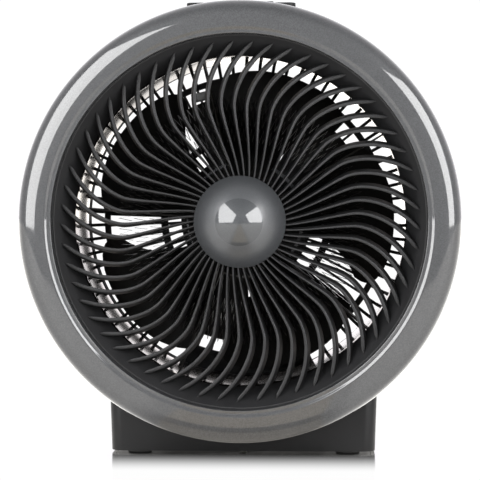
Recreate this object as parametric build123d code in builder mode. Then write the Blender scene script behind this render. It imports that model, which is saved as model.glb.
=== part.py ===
"""Round fan heater and air circulator: a drum-shaped head that tilts on a cradle base.

Millimetres, +Z up, the front faces -Y. The origin is the middle of the footprint on the table.
Depths are measured backwards from the front crest of the ring.
"""

from build123d import *
import os
from math import asin, atan, cos, degrees, radians, sin, sqrt

os.makedirs("parts", exist_ok=True)

# ---------------------------------------------------------------- driving dimensions
# Fits shared by the whole product
seat_gap = 0.3  # between two pieces that seat on each other
running_gap = 0.05  # radial, shaft in bush, plunger in guide
moving_gap = 1.0  # between pieces that pass each other

# Where the head stands
ring_ground_gap = 14.5  # under the ring
base_front_depth = 70.0
base_length = 98.0  # front to back

# Front ring: a hollow, torus-like bezel
ring_outer_radius = 140.0
ring_flank = 16.0  # radial, from the crest to the widest part
ring_lip_reach = 5.6  # radial, from the opening to the crest
ring_flank_fullness = 2.9  # two would be an ellipse, and more is flatter at the crest
ring_lip_fullness = 4.0
ring_spans = 12  # points along each side of the crest
ring_widest_depth = 20.0
ring_lip_curve = 8.0
ring_lip_depth = 12.0
ring_depth = 36.0
ring_draw = 1.8  # radial, from the widest part to the back edge
ring_wall = 2.4
ring_notch_width = 14.6  # release notch under the ring
ring_notch_height = 0.9
ring_notch_depth = 10.0  # where the notch starts

# Front grille: dished flange, swept fins and hub
ring_groove = 0.5  # shadow line between ring and flange
flange_front_depth = 14.5
flange_back_depth = 32.0
flange_dish = 11.7  # radial reach of the dish
flange_wall = 2.6
flange_step = 1.0
collar_fit = 1.6  # round the collar, inside the ring
collar_wall = 2.2
fin_count = 57
fin_front_depth = 19.0
fin_chord = 10.0  # front edge to back edge
fin_lean = 1.2  # degrees that the back edge is turned anticlockwise
fin_root_radius = 27.6
fin_tip_sink = 0.4  # how far the tips run into the dish
fin_peak_radius = 73.7  # where the S turns back
fin_peak_angle = 10.52
fin_inner_sweep = 8.66  # degrees from the root to the peak
fin_outer_sweep = 13.7  # degrees from the peak back to the tip
fin_inner_power = 1.7
fin_outer_power = 1.55
fin_root_width = 1.1
fin_tip_width = 2.4
fin_point_width = 0.7
fin_point_length = 4.0
fin_spans = 7  # flats along each side of a fin
hub_radius = 28.6
hub_wall = 2.0

# Centre dome
dome_radius = 29.4
dome_rise = 18.4
dome_wall = 2.0
dome_post_radius = 4.0
dome_post_reach = 3.0  # behind the hub's plate

# Drum housing
housing_fit = 1.0  # between the drum's mouth and the ring
housing_wall = 2.6
rim_thickness = 2.5
bowl_mid_draw = 5.3  # how much narrower the bowl is in the middle
bowl_mid_depth = 87.0
bowl_back_draw = 21.2  # and at the back
housing_back_depth = 136.0
back_flange_width = 5.0

# Heat shield
shield_inset = 0.2  # behind the dish's inner edge
shield_wall = 0.8
shield_lip = 5.6  # radial
shield_length = 67.0

# Rear grille
grille_thickness = 3.0
grille_rim_width = 5.6
outer_slot_count = 70
outer_slot_length = 9.2
outer_rib = 2.2
outer_bar = 4.2  # closed ring between the outer and the inner slots
inner_slot_count = 60
inner_rib = 1.8
inner_bar = 5.0  # closed ring between the inner and the small slots
small_slot_count = 48
small_slot_length = 9.0
small_rib = 2.0
closed_half_angle = 26.0  # no outer slots at the bottom, behind the base
arm_angles = (112.5, 259.0)  # closed arms that carry the motor
arm_half_angle = 10.0
lead_arm_angle = 46.5  # the wider arm that the motor's leads run along
lead_arm_half_angle = 13.4
arm_inset = 12.6  # how far the arms end inside the inner slots
grille_screw_count = 4
motor_seat_radius = 42.0
motor_seat_proud = 3.0
motor_seat_margin = 3.5  # between the raised seat and the small slots

# Heater
heater_front_depth = 40.0
board_depth = 22.0
board_thickness = 1.2
board_count = 5
board_first_angle = 31.5
heater_hub_radius = 14.0
heater_hub_bore = 10.0
ribbon_radii = (56.0, 66.0, 76.0)
ribbon_waves = 30
ribbon_swing = 4.2  # radial, each way
ribbon_strip = 0.4
ribbon_depth = 8.0
cutout_radius = 84.6
cutout_width = 12.0
cutout_height = 5.4
cutout_length = 10.0

# Impeller
impeller_centre_depth = 80.0
impeller_hub_radius = 21.0
impeller_hub_length = 24.0
impeller_hub_wall = 2.5
impeller_hub_chamfer = 3.0
impeller_web = 5.0  # thickness of the hub's front plate
blade_count = 5
blade_first_angle = 6.0
blade_tip_gap = 5.9  # between the blades and the heat shield
blade_thickness = 2.0
blade_half_pitch = 12.0
blade_camber = 3.0
blade_half_chord = 48.0
nut_across = 12.0
nut_length = 5.0

# Motor
shaft_radius = 3.0
motor_front_depth = 98.0
motor_radius = 38.0
motor_wall = 2.0
stator_radius = 40.0
stator_bore = 19.0
stator_front_depth = 112.0
stator_length = 10.0
rotor_air_gap = 0.4
rotor_length = 16.0
winding_outer_radius = 34.0
winding_inner_radius = 23.0
winding_height = 7.0
bearing_radius = 6.0
bearing_length = 6.0

# Top control panel, knobs and what they turn
panel_half_width = 35.0
panel_front_depth = 37.0
panel_length = 88.0
panel_rise = 0.5  # front edge over the ring
panel_fall = 7.0  # from the front edge to the back edge
panel_wall = 2.5
panel_corner = 4.0
knob_depth = 92.0
knob_spacing = 34.0
knob_radius = 13.5
knob_height = 8.0
knob_skirt_height = 3.0
knob_grip_width = 7.0
knob_shaft_radius = 3.0
switch_size = 22.0
switch_height = 14.0
lens_depth = 64.0
lens_radius = 3.0
lens_height = 5.0
lens_proud = 0.8

# Cradle base
base_half_width_bottom = 87.6
base_flare = 1.6  # how much wider it is at the top of the cheeks, on each side
base_cheek_height = 50.0
base_tail_height = 24.0
base_tail_drop = 4.0  # the tail slopes by this much each way
base_bottom = 1.5
base_corner = 8.0
base_wall = 2.6
cradle_gap = 3.2
cover_thickness = 2.4
foot_radius = 8.0
foot_inset_x = 18.0
foot_inset_y = 15.0

# Tilt hinge, low in the cheeks of the cradle
pivot_depth = 100.0
pivot_cover = 8.89285  # from the saddle at the side of the base down to the pin's axis
pivot_pin_radius = 4.0
lug_inset = 15.8  # lug's middle, in from the side of the base
lug_thickness = 7.6
lug_radius = 9.0
washer_thickness = 1.2
washer_radius = 8.0
pin_head_radius = 6.5
pin_head_thickness = 2.6
pin_inset = 1.0  # head's face behind the widest part of the cheek
lug_swing_room = 7.0  # before and behind the lug

# Tip-over switch
plunger_radius = 3.0
plunger_depth = 84.0
plunger_length = 11.0
plunger_travel = 2.5
tip_switch_width = 20.0
tip_switch_length = 14.0

# Cord grommet in the back of the base
grommet_inset = 32.6  # in from the side of the base
grommet_height = 13.0
grommet_radius = 6.5
grommet_bore = 3.6
grommet_lip = 1.5

# Screws
screw_radius = 1.6
screw_head_across = 5.5  # hexagonal heads
screw_head_height = 1.8

# ---------------------------------------------------------------- sizes that follow
ring_crest_radius = ring_outer_radius - ring_flank
ring_opening_radius = ring_crest_radius - ring_lip_reach
ring_back_radius = ring_outer_radius - ring_draw
axis_height = ring_outer_radius + ring_ground_gap
flange_outer_radius = ring_opening_radius - ring_groove
flange_inner_radius = flange_outer_radius - flange_dish
flange_slope = flange_dish / (flange_back_depth - flange_front_depth)
collar_radius = ring_back_radius - ring_wall - collar_fit
housing_front_radius = ring_back_radius - ring_wall - housing_fit
rim_radius = ring_back_radius - seat_gap
bowl_mid_radius = housing_front_radius - bowl_mid_draw
bowl_back_radius = housing_front_radius - bowl_back_draw
back_flange_inner_radius = bowl_back_radius - back_flange_width
shield_radius = flange_inner_radius + shield_inset
shield_lip_radius = shield_radius + shield_lip
blade_tip_radius = shield_radius - blade_tip_gap
grille_rim_inner_radius = bowl_back_radius - grille_rim_width
outer_slot_inner_radius = grille_rim_inner_radius - outer_slot_length
inner_slot_outer_radius = outer_slot_inner_radius - outer_bar
small_slot_inner_radius = motor_seat_radius + motor_seat_margin
small_slot_outer_radius = small_slot_inner_radius + small_slot_length
inner_slot_inner_radius = small_slot_outer_radius + inner_bar
arm_reach = inner_slot_outer_radius - arm_inset
grille_screw_circle = bowl_back_radius - housing_wall
panel_front_height = axis_height + ring_outer_radius + panel_rise
panel_back_height = panel_front_height - panel_fall
base_half_width_top = base_half_width_bottom + base_flare
lug_centre_x = base_half_width_bottom - lug_inset
grommet_x = base_half_width_bottom - grommet_inset

# ---------------------------------------------------------------- reference planes
base_back_depth = base_front_depth + base_length
grommet_back_depth = base_back_depth + seat_gap + grommet_lip
front_y = -grommet_back_depth / 2
head_axis = Axis((0, front_y, axis_height), (0, 1, 0))
# Half-section of the head: local x is the radius, local y the depth
section = Plane(origin=(0, front_y, axis_height), x_dir=(1, 0, 0), z_dir=(0, 0, 1))


def facing(depth, turn=0.0):
    """A plane across the head at a depth: x to the right, y up, z towards the front.

    A turn in degrees swings x and y anticlockwise.
    """
    right = (cos(radians(turn)), 0, sin(radians(turn)))
    return Plane(origin=(0, front_y + depth, axis_height), x_dir=right, z_dir=(0, -1, 0))


def level(x, depth, height):
    """A horizontal plane whose origin lies at a place given by x, depth and height."""
    return Plane(origin=(x, front_y + depth, height), x_dir=(1, 0, 0), z_dir=(0, 0, 1))


def hinge_plane(x):
    """A plane across the hinge's axis: x to the back, y up, z to the right."""
    return Plane(origin=(x, front_y + pivot_depth, pivot_height), x_dir=(0, 1, 0), z_dir=(1, 0, 0))


def polar(radius, angle):
    """A point given by its radius and its angle in degrees."""
    return (radius * cos(radians(angle)), radius * sin(radians(angle)))


def save(builder, name):
    """Label a finished piece and write it out."""
    builder.part.label = name
    export_step(builder.part, f"parts/{name}.step")


# ---------------------------------------------------------------- front ring
def crest_side(reach, fall, fullness):
    """Points down one side of the ring's crest, which is flatter than an ellipse."""
    turns = [radians(90 * i / ring_spans) for i in range(ring_spans + 1)]
    return [
        (ring_crest_radius + reach * sin(turn) ** (2 / fullness), fall * (1 - cos(turn) ** (2 / fullness)))
        for turn in turns
    ]


with BuildPart() as front_ring:
    with BuildSketch(section):
        with BuildLine():
            inside_radius = ring_opening_radius + ring_wall
            lip_side = crest_side(-ring_lip_reach, ring_lip_curve, ring_lip_fullness)
            flank_side = crest_side(ring_flank, ring_widest_depth, ring_flank_fullness)
            Spline(*lip_side, tangents=((-1, 0), (0, 1)))
            Spline(*flank_side, tangents=((1, 0), (0, 1)))
            Polyline(
                flank_side[-1],
                (ring_back_radius, ring_depth),
                (ring_back_radius - ring_wall, ring_depth),
                (ring_outer_radius - ring_wall, ring_widest_depth),
                (ring_outer_radius - 2.5 * ring_wall, 2 * ring_wall),
                (ring_crest_radius, ring_wall),
                (inside_radius, ring_lip_curve),
                (inside_radius, ring_lip_depth),
                (ring_opening_radius, ring_lip_depth),
                lip_side[-1],
            )
        make_face()
    revolve(axis=head_axis)
    with BuildSketch(level(0, ring_notch_depth, axis_height - ring_outer_radius)):
        Rectangle(ring_notch_width, ring_depth, align=(Align.CENTER, Align.MIN))
    extrude(amount=ring_notch_height, both=True, mode=Mode.SUBTRACT)
save(front_ring, "front_ring")


# ---------------------------------------------------------------- front grille
def flange_radius(depth):
    """Radius of the dish's face at a depth."""
    return flange_outer_radius - (depth - flange_front_depth) * flange_slope


fin_tip_radius = flange_radius(fin_front_depth) + fin_tip_sink


def fin_angle(radius):
    """Angle of a fin's middle line at a radius, in degrees anticlockwise."""
    if radius < fin_peak_radius:
        share = (fin_peak_radius - radius) / (fin_peak_radius - fin_root_radius)
        return fin_peak_angle - fin_inner_sweep * share**fin_inner_power
    share = (radius - fin_peak_radius) / (fin_tip_radius - fin_peak_radius)
    return fin_peak_angle - fin_outer_sweep * share**fin_outer_power


def fin_width(radius):
    """Width of a fin's edge at a radius, measured round the circle."""
    if radius > fin_tip_radius - fin_point_length:
        share = (fin_tip_radius - radius) / fin_point_length
        return fin_point_width + (fin_tip_width - fin_point_width) * share
    share = (radius - fin_root_radius) / (fin_tip_radius - fin_root_radius)
    return fin_root_width + (fin_tip_width - fin_root_width) * share


def fin_outline(end_radius):
    """Corners of a fin's outline: up its right side, round the point and down the left."""
    body_end = min(end_radius, fin_tip_radius) - fin_point_length
    radii = [fin_root_radius + (body_end - fin_root_radius) * i / fin_spans for i in range(fin_spans + 1)]
    right = [polar(r, fin_angle(r) - degrees(fin_width(r) / 2 / r)) for r in radii]
    left = [polar(r, fin_angle(r) + degrees(fin_width(r) / 2 / r)) for r in radii]
    point = degrees(fin_point_width / 2 / end_radius)
    tip = [polar(end_radius, fin_angle(end_radius) + turn) for turn in (-point, point)]
    return right + tip + left[::-1]


fin_back_end = flange_radius(fin_front_depth + fin_chord) + flange_wall / 3

with BuildPart() as fin:
    with BuildSketch(Plane.XY):
        Polygon(*fin_outline(fin_tip_radius), align=None)
    with BuildSketch(Plane.XY.offset(-fin_chord).rotated((0, 0, fin_lean))):
        Polygon(*fin_outline(fin_back_end), align=None)
    loft(ruled=True)

with BuildPart(facing(fin_front_depth)) as front_grille:
    with BuildSketch(section):
        Polygon(
            (flange_outer_radius, flange_front_depth),
            (flange_inner_radius, flange_back_depth),
            (flange_inner_radius + flange_wall, flange_back_depth),
            (flange_radius(flange_front_depth + flange_step + collar_wall) + flange_wall,
             flange_front_depth + flange_step + collar_wall),
            (collar_radius, flange_front_depth + flange_step + collar_wall),
            (collar_radius, flange_front_depth + flange_step),
            (flange_outer_radius + flange_step, flange_front_depth + flange_step),
            (flange_outer_radius + flange_step, flange_front_depth),
            align=None,
        )
    revolve(axis=head_axis)
    with BuildSketch(section):
        Polygon(
            (dome_post_radius + running_gap, fin_front_depth),
            (hub_radius, fin_front_depth),
            (hub_radius, fin_front_depth + fin_chord),
            (hub_radius - hub_wall, fin_front_depth + fin_chord),
            (hub_radius - hub_wall, fin_front_depth + hub_wall),
            (dome_post_radius + running_gap, fin_front_depth + hub_wall),
            align=None,
        )
    revolve(axis=head_axis)
    with PolarLocations(0, fin_count):
        add(fin.part)
save(front_grille, "front_grille")

# ---------------------------------------------------------------- centre dome
dome_back_depth = fin_front_depth - seat_gap
dome_front_depth = dome_back_depth - dome_rise
with BuildPart() as centre_dome:
    with BuildSketch(section):
        with BuildLine():
            rim_mid = (
                dome_radius * sin(radians(45)),
                dome_back_depth - dome_rise * cos(radians(42)),
            )
            inner_rim = dome_radius - dome_wall
            shoulder = (dome_radius / 2, dome_front_depth + 2 * dome_wall)
            ThreePointArc((0, dome_front_depth), rim_mid, (dome_radius, dome_back_depth))
            Polyline(
                (dome_radius, dome_back_depth),
                (inner_rim, dome_back_depth),
                shoulder,
                (0, dome_front_depth + dome_wall),
                (0, dome_front_depth),
            )
        make_face()
    revolve(axis=head_axis)
    post_end = fin_front_depth + hub_wall + dome_post_reach
    with BuildSketch(facing(post_end)):
        Circle(dome_post_radius)
    extrude(amount=post_end - dome_front_depth - dome_wall / 2)
save(centre_dome, "centre_dome")

# ---------------------------------------------------------------- heat shield
shield_front_depth = flange_back_depth + seat_gap
shield_back_depth = shield_front_depth + shield_length
with BuildPart() as heat_shield:
    with BuildSketch(section):
        Polygon(
            (shield_radius, shield_front_depth),
            (shield_lip_radius, shield_front_depth),
            (shield_lip_radius, shield_front_depth + shield_wall),
            (shield_radius + shield_wall, shield_front_depth + shield_wall),
            (shield_radius + shield_wall, shield_back_depth),
            (shield_radius, shield_back_depth),
            align=None,
        )
    revolve(axis=head_axis)
save(heat_shield, "heat_shield")

# ---------------------------------------------------------------- drum housing
housing_front_depth = flange_front_depth + flange_step + collar_wall + seat_gap
rim_depth = ring_depth + seat_gap
bowl_inner_radius = housing_front_radius - housing_wall
bowl_front = (housing_front_radius, rim_depth + rim_thickness)
bowl_back = (bowl_back_radius, housing_back_depth)
bowl_arc_centre_line = ThreePointArc(bowl_front, (bowl_mid_radius, bowl_mid_depth), bowl_back)
bowl_arc_radius = bowl_arc_centre_line.radius
bowl_arc_centre = bowl_arc_centre_line.arc_center


def bowl_radius(depth):
    """Outer radius of the bowl at a depth."""
    rise = sqrt(bowl_arc_radius**2 - (depth - bowl_arc_centre.Y) ** 2)
    return bowl_arc_centre.X + rise


def bowl_underside(x, depth):
    """Height of the bowl's underside at a place."""
    return axis_height - sqrt(bowl_radius(depth) ** 2 - x**2)


cradle_radius = bowl_radius(base_front_depth) + cradle_gap
pivot_height = axis_height - sqrt(cradle_radius**2 - base_half_width_bottom**2) - pivot_cover
lug_top = bowl_underside(lug_centre_x, pivot_depth) + housing_wall
lug_face = lug_centre_x - lug_thickness / 2
window_width = 2 * (panel_half_width - panel_corner - panel_wall)
window_front_depth = lens_depth - lens_radius - panel_wall
window_back_depth = knob_depth + switch_size / 2 + moving_gap
with BuildPart() as drum_housing:
    with BuildSketch(section):
        with BuildLine():
            ThreePointArc(bowl_front, (bowl_mid_radius, bowl_mid_depth), bowl_back)
            Polyline(
                bowl_back,
                (back_flange_inner_radius, housing_back_depth),
                (back_flange_inner_radius, housing_back_depth - housing_wall),
                (bowl_back_radius - housing_wall, housing_back_depth - housing_wall),
            )
            ThreePointArc(
                (bowl_back_radius - housing_wall, housing_back_depth - housing_wall),
                (bowl_mid_radius - housing_wall, bowl_mid_depth),
                (bowl_inner_radius, rim_depth + rim_thickness),
            )
            Polyline(
                (bowl_inner_radius, rim_depth + rim_thickness),
                (bowl_inner_radius, housing_front_depth),
                (housing_front_radius, housing_front_depth),
                (housing_front_radius, rim_depth),
                (rim_radius, rim_depth),
                (rim_radius, rim_depth + rim_thickness),
                bowl_front,
            )
        make_face()
    revolve(axis=head_axis)
    # window under the control panel for the bodies of the switches
    with BuildSketch(level(0, window_front_depth, axis_height)):
        Rectangle(
            window_width,
            window_back_depth - window_front_depth,
            align=(Align.CENTER, Align.MIN),
        )
    extrude(amount=ring_outer_radius, mode=Mode.SUBTRACT)
    # screw holes in the back flange
    with BuildSketch(facing(housing_back_depth)):
        with PolarLocations(grille_screw_circle, grille_screw_count, start_angle=45):
            Circle(screw_radius)
    extrude(amount=housing_wall, mode=Mode.SUBTRACT)
    # hinge lugs under the bowl
    for side in (-1, 1):
        with BuildSketch(hinge_plane(side * lug_centre_x)):
            Circle(lug_radius)
            Rectangle(
                2 * lug_radius,
                lug_top - pivot_height,
                align=(Align.CENTER, Align.MIN),
            )
            Circle(pivot_pin_radius + running_gap, mode=Mode.SUBTRACT)
        extrude(amount=lug_thickness / 2, both=True)
save(drum_housing, "drum_housing")


# ---------------------------------------------------------------- rear grille
def slot_outline(inner, outer, count, rib, angle):
    """Corners of one radial slot that leaves a rib of even width beside it."""
    inner_half = 180 / count - degrees(asin(rib / 2 / inner))
    outer_half = 180 / count - degrees(asin(rib / 2 / outer))
    return (
        polar(inner, angle - inner_half),
        polar(outer, angle - outer_half),
        polar(outer, angle + outer_half),
        polar(inner, angle + inner_half),
    )


def on_arm(angle):
    """Whether a slot at this angle lies over one of the closed arms."""
    if abs(angle - lead_arm_angle) < lead_arm_half_angle:
        return True
    return any(abs(angle - arm) < arm_half_angle for arm in arm_angles)


def slot_row(inner, outer, count, rib):
    """Outlines of a ring of slots, kept clear of the arms and of the closed bottom."""
    outlines = []
    for angle in [i * 360 / count for i in range(count)]:
        start = arm_reach if on_arm(angle) else inner
        if outer > inner_slot_outer_radius:
            start = inner
            if abs(angle - 270) < closed_half_angle:
                continue
        if start < outer:
            outlines.append(slot_outline(start, outer, count, rib, angle))
    return outlines


rear_grille_depth = housing_back_depth + seat_gap
with BuildPart() as rear_grille:
    with BuildSketch(facing(rear_grille_depth)):
        Circle(bowl_back_radius)
        slots = slot_row(outer_slot_inner_radius, grille_rim_inner_radius, outer_slot_count, outer_rib)
        slots += slot_row(inner_slot_inner_radius, inner_slot_outer_radius, inner_slot_count, inner_rib)
        slots += slot_row(small_slot_inner_radius, small_slot_outer_radius, small_slot_count, small_rib)
        for outline in slots:
            Polygon(*outline, align=None, mode=Mode.SUBTRACT)
        with PolarLocations(grille_screw_circle, grille_screw_count, start_angle=45):
            Circle(screw_radius + seat_gap, mode=Mode.SUBTRACT)
    extrude(amount=-grille_thickness)
    # raised boss that the motor stands on
    with BuildSketch(facing(rear_grille_depth + grille_thickness)):
        Circle(motor_seat_radius)
    extrude(amount=-motor_seat_proud, taper=10)
save(rear_grille, "rear_grille")

# hexagon-headed screws, driven in from behind
rear_screw_face = Plane(
    origin=(0, front_y + rear_grille_depth + grille_thickness, axis_height),
    x_dir=(-1, 0, 0),
    z_dir=(0, 1, 0),
)
with BuildPart() as rear_grille_screws:
    with BuildSketch(rear_screw_face):
        with PolarLocations(grille_screw_circle, grille_screw_count, start_angle=45):
            RegularPolygon(screw_head_across / 2, 6, major_radius=False)
    extrude(amount=screw_head_height)
    with BuildSketch(rear_screw_face):
        with PolarLocations(grille_screw_circle, grille_screw_count, start_angle=45):
            Circle(screw_radius - running_gap)
    extrude(amount=-grille_thickness - housing_wall)
save(rear_grille_screws, "rear_grille_screws")

# ---------------------------------------------------------------- heater
heater_mid_depth = heater_front_depth + board_depth / 2
with BuildPart() as heater_hub:
    with BuildSketch(facing(heater_front_depth)):
        Circle(heater_hub_radius)
        Circle(heater_hub_bore, mode=Mode.SUBTRACT)
    extrude(amount=-board_depth)
save(heater_hub, "heater_hub")

window_half = ribbon_swing * 0.55
for number in range(board_count):
    angle = board_first_angle + number * 360 / board_count
    board_plane = Plane(
        origin=(0, front_y + heater_mid_depth, axis_height),
        x_dir=(cos(radians(angle)), 0, sin(radians(angle))),
        z_dir=(-sin(radians(angle)), 0, cos(radians(angle))),
    )
    with BuildPart() as mica_board:
        with BuildSketch(board_plane):
            board_inner = heater_hub_radius + seat_gap
            board_outer = shield_radius - seat_gap
            with Locations((board_inner, 0)):
                Rectangle(board_outer - board_inner, board_depth, align=(Align.MIN, Align.CENTER))
            # windows that carry the ribbons
            with Locations([(r, 0) for r in ribbon_radii]):
                Rectangle(2 * window_half, ribbon_depth + 2 * seat_gap, mode=Mode.SUBTRACT)
            # notched front and back edges
            notch_places = [
                (r + shift, edge * board_depth / 2)
                for r in ribbon_radii
                for shift in (-ribbon_swing, ribbon_swing)
                for edge in (-1, 1)
            ]
            with Locations(notch_places):
                Rectangle(window_half, window_half, mode=Mode.SUBTRACT)
        extrude(amount=board_thickness / 2, both=True)
    save(mica_board, f"mica_board_{number + 1}")


def ribbon_points(radius, shift):
    """Corner points of a zigzag ring whose strip is offset by shift."""
    half_wave = 180 / ribbon_waves
    # the strip crosses each board half-way up a wave
    start = board_first_angle + half_wave / 2
    corners = []
    for i in range(2 * ribbon_waves):
        swing = ribbon_swing if i % 2 else -ribbon_swing
        corners.append(polar(radius + swing + shift, start + i * half_wave))
    return corners


for number, radius in enumerate(ribbon_radii):
    with BuildPart() as ribbon:
        with BuildSketch(facing(heater_mid_depth)):
            Polygon(*ribbon_points(radius, ribbon_strip), align=None)
            Polygon(*ribbon_points(radius, -ribbon_strip), align=None, mode=Mode.SUBTRACT)
        extrude(amount=ribbon_depth / 2, both=True)
    save(ribbon, f"heating_ribbon_{number + 1}")

# the cut-out lies against the second board
cutout_board_angle = board_first_angle + 360 / board_count
with BuildPart() as thermal_cutout:
    with BuildSketch(facing(heater_mid_depth, cutout_board_angle)):
        with Locations((cutout_radius, board_thickness / 2 + seat_gap + cutout_width / 2)):
            Rectangle(cutout_height, cutout_width)
    extrude(amount=cutout_length / 2, both=True)
save(thermal_cutout, "thermal_cutout")


# ---------------------------------------------------------------- impeller
def blade_outline():
    """Sides of one blade seen from the front, with its middle on local x."""
    root = impeller_hub_radius - impeller_hub_chamfer
    reach = blade_tip_radius - root
    trailing = [polar(root, 26), polar(root + reach / 2, 26.5), polar(root + 0.83 * reach, 26.5)]
    tip = [
        trailing[-1],
        polar(root + 0.96 * reach, 19),
        polar(blade_tip_radius, 2),
        polar(root + 0.96 * reach, -22),
        polar(root + 0.86 * reach, -31),
    ]
    leading = [tip[-1], polar(root + 0.68 * reach, -27), polar(root + reach / 2, -20), polar(root, -8)]
    return trailing, tip, leading


with BuildPart() as blade:
    trailing, tip, leading = blade_outline()
    with BuildSketch(Plane.XY.offset(-blade_half_pitch - blade_camber)):
        with BuildLine():
            Spline(*trailing)
            Spline(*tip)
            Spline(*leading)
            Line(leading[-1], trailing[0])
        make_face()
    extrude(amount=2 * (blade_half_pitch + blade_camber))
    # the cambered sheet that the outline is cut from: its front is at the trailing side
    with BuildSketch(Plane.YZ):
        with BuildLine():
            low = (-blade_half_chord, -blade_half_pitch)
            high = (blade_half_chord, blade_half_pitch)
            skin = ThreePointArc(low, (0, -blade_camber), high)
            back = ThreePointArc(
                (high[0], high[1] - blade_thickness),
                (0, -blade_camber - blade_thickness),
                (low[0], low[1] - blade_thickness),
            )
            Line(skin @ 1, back @ 0)
            Line(back @ 1, skin @ 0)
        make_face()
    extrude(amount=blade_tip_radius + blade_half_chord, mode=Mode.INTERSECT)

impeller_front_depth = impeller_centre_depth - impeller_hub_length / 2
impeller_bore = shaft_radius + running_gap
with BuildPart(facing(impeller_centre_depth)) as impeller:
    with BuildSketch(section):
        Polygon(
            (impeller_bore, impeller_front_depth),
            (impeller_hub_radius - impeller_hub_chamfer, impeller_front_depth),
            (impeller_hub_radius, impeller_front_depth + impeller_hub_chamfer),
            (impeller_hub_radius, impeller_front_depth + impeller_hub_length),
            (impeller_hub_radius - impeller_hub_wall, impeller_front_depth + impeller_hub_length),
            (impeller_hub_radius - impeller_hub_wall, impeller_front_depth + impeller_web),
            (2.5 * shaft_radius, impeller_front_depth + impeller_web),
            (2.5 * shaft_radius, impeller_front_depth + impeller_hub_length),
            (impeller_bore, impeller_front_depth + impeller_hub_length),
            align=None,
        )
    revolve(axis=head_axis)
    with PolarLocations(0, blade_count, start_angle=blade_first_angle):
        add(blade.part)
    with BuildSketch(facing(impeller_centre_depth)):
        Circle(impeller_hub_radius - impeller_hub_wall)
        Circle(2.5 * shaft_radius, mode=Mode.SUBTRACT)
    extrude(amount=-impeller_hub_length / 2, mode=Mode.SUBTRACT)
save(impeller, "impeller")

nut_front_depth = impeller_front_depth - seat_gap - nut_length
with BuildPart() as impeller_nut:
    with BuildSketch(facing(nut_front_depth)):
        RegularPolygon(nut_across / 2, 6, major_radius=False)
    extrude(amount=-nut_length)
    with BuildSketch(facing(nut_front_depth + nut_length)):
        Circle(impeller_bore)
    extrude(amount=nut_length - hub_wall, mode=Mode.SUBTRACT)
save(impeller_nut, "impeller_nut")

# ---------------------------------------------------------------- motor
motor_back_depth = housing_back_depth
shaft_front_depth = nut_front_depth + hub_wall + seat_gap
with BuildPart() as motor_shaft:
    with BuildSketch(facing(shaft_front_depth)):
        Circle(shaft_radius)
    extrude(amount=shaft_front_depth - motor_back_depth + motor_wall)
save(motor_shaft, "motor_shaft")

stator_mid_depth = stator_front_depth + stator_length / 2
with BuildPart() as rotor:
    with BuildSketch(facing(stator_mid_depth)):
        Circle(stator_bore - rotor_air_gap)
        Circle(shaft_radius + running_gap, mode=Mode.SUBTRACT)
    extrude(amount=rotor_length / 2, both=True)
save(rotor, "rotor")

with BuildPart() as stator:
    with BuildSketch(facing(stator_mid_depth)):
        Circle(stator_radius)
        Circle(stator_bore, mode=Mode.SUBTRACT)
    extrude(amount=stator_length / 2, both=True)
save(stator, "stator")

for side, name in ((-1, "front_winding"), (1, "rear_winding")):
    with BuildPart() as winding:
        with BuildSketch(facing(stator_mid_depth + side * (stator_length / 2 + seat_gap))):
            Circle(winding_outer_radius)
            Circle(winding_inner_radius, mode=Mode.SUBTRACT)
        extrude(amount=-side * winding_height)
    save(winding, name)


def end_bell(stator_side_depth, end_depth):
    """A cup over one end of the stator, with the shaft's bearing in its middle."""
    towards = 1 if end_depth > stator_side_depth else -1
    inner_end = end_depth - towards * motor_wall
    bearing_end = end_depth - towards * bearing_length
    bore = shaft_radius + running_gap
    with BuildPart() as bell:
        with BuildSketch(section):
            Polygon(
                (bore, end_depth),
                (motor_radius, end_depth),
                (motor_radius, stator_side_depth),
                (motor_radius - motor_wall, stator_side_depth),
                (motor_radius - motor_wall, inner_end),
                (bearing_radius, inner_end),
                (bearing_radius, bearing_end),
                (bore, bearing_end),
                align=None,
            )
        revolve(axis=head_axis)
    return bell


front_bell = end_bell(stator_front_depth - seat_gap, motor_front_depth)
save(front_bell, "front_end_bell")
rear_bell = end_bell(stator_front_depth + stator_length + seat_gap, motor_back_depth)
save(rear_bell, "rear_end_bell")

# ---------------------------------------------------------------- top control panel
panel_back_depth = panel_front_depth + panel_length
panel_slope = degrees(atan((panel_front_height - panel_back_height) / panel_length))


def panel_height(depth):
    """Height of the panel's top face at a depth."""
    share = (depth - panel_front_depth) / panel_length
    return panel_front_height + (panel_back_height - panel_front_height) * share


def panel_top(x, depth, sink=0.0):
    """A plane on the sloping top of the panel, sunk by an amount; z points out of it."""
    tilt = radians(panel_slope)
    return Plane(
        origin=(x, front_y + depth, panel_height(depth)),
        x_dir=(1, 0, 0),
        z_dir=(0, sin(tilt), cos(tilt)),
    ).offset(-sink)


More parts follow.
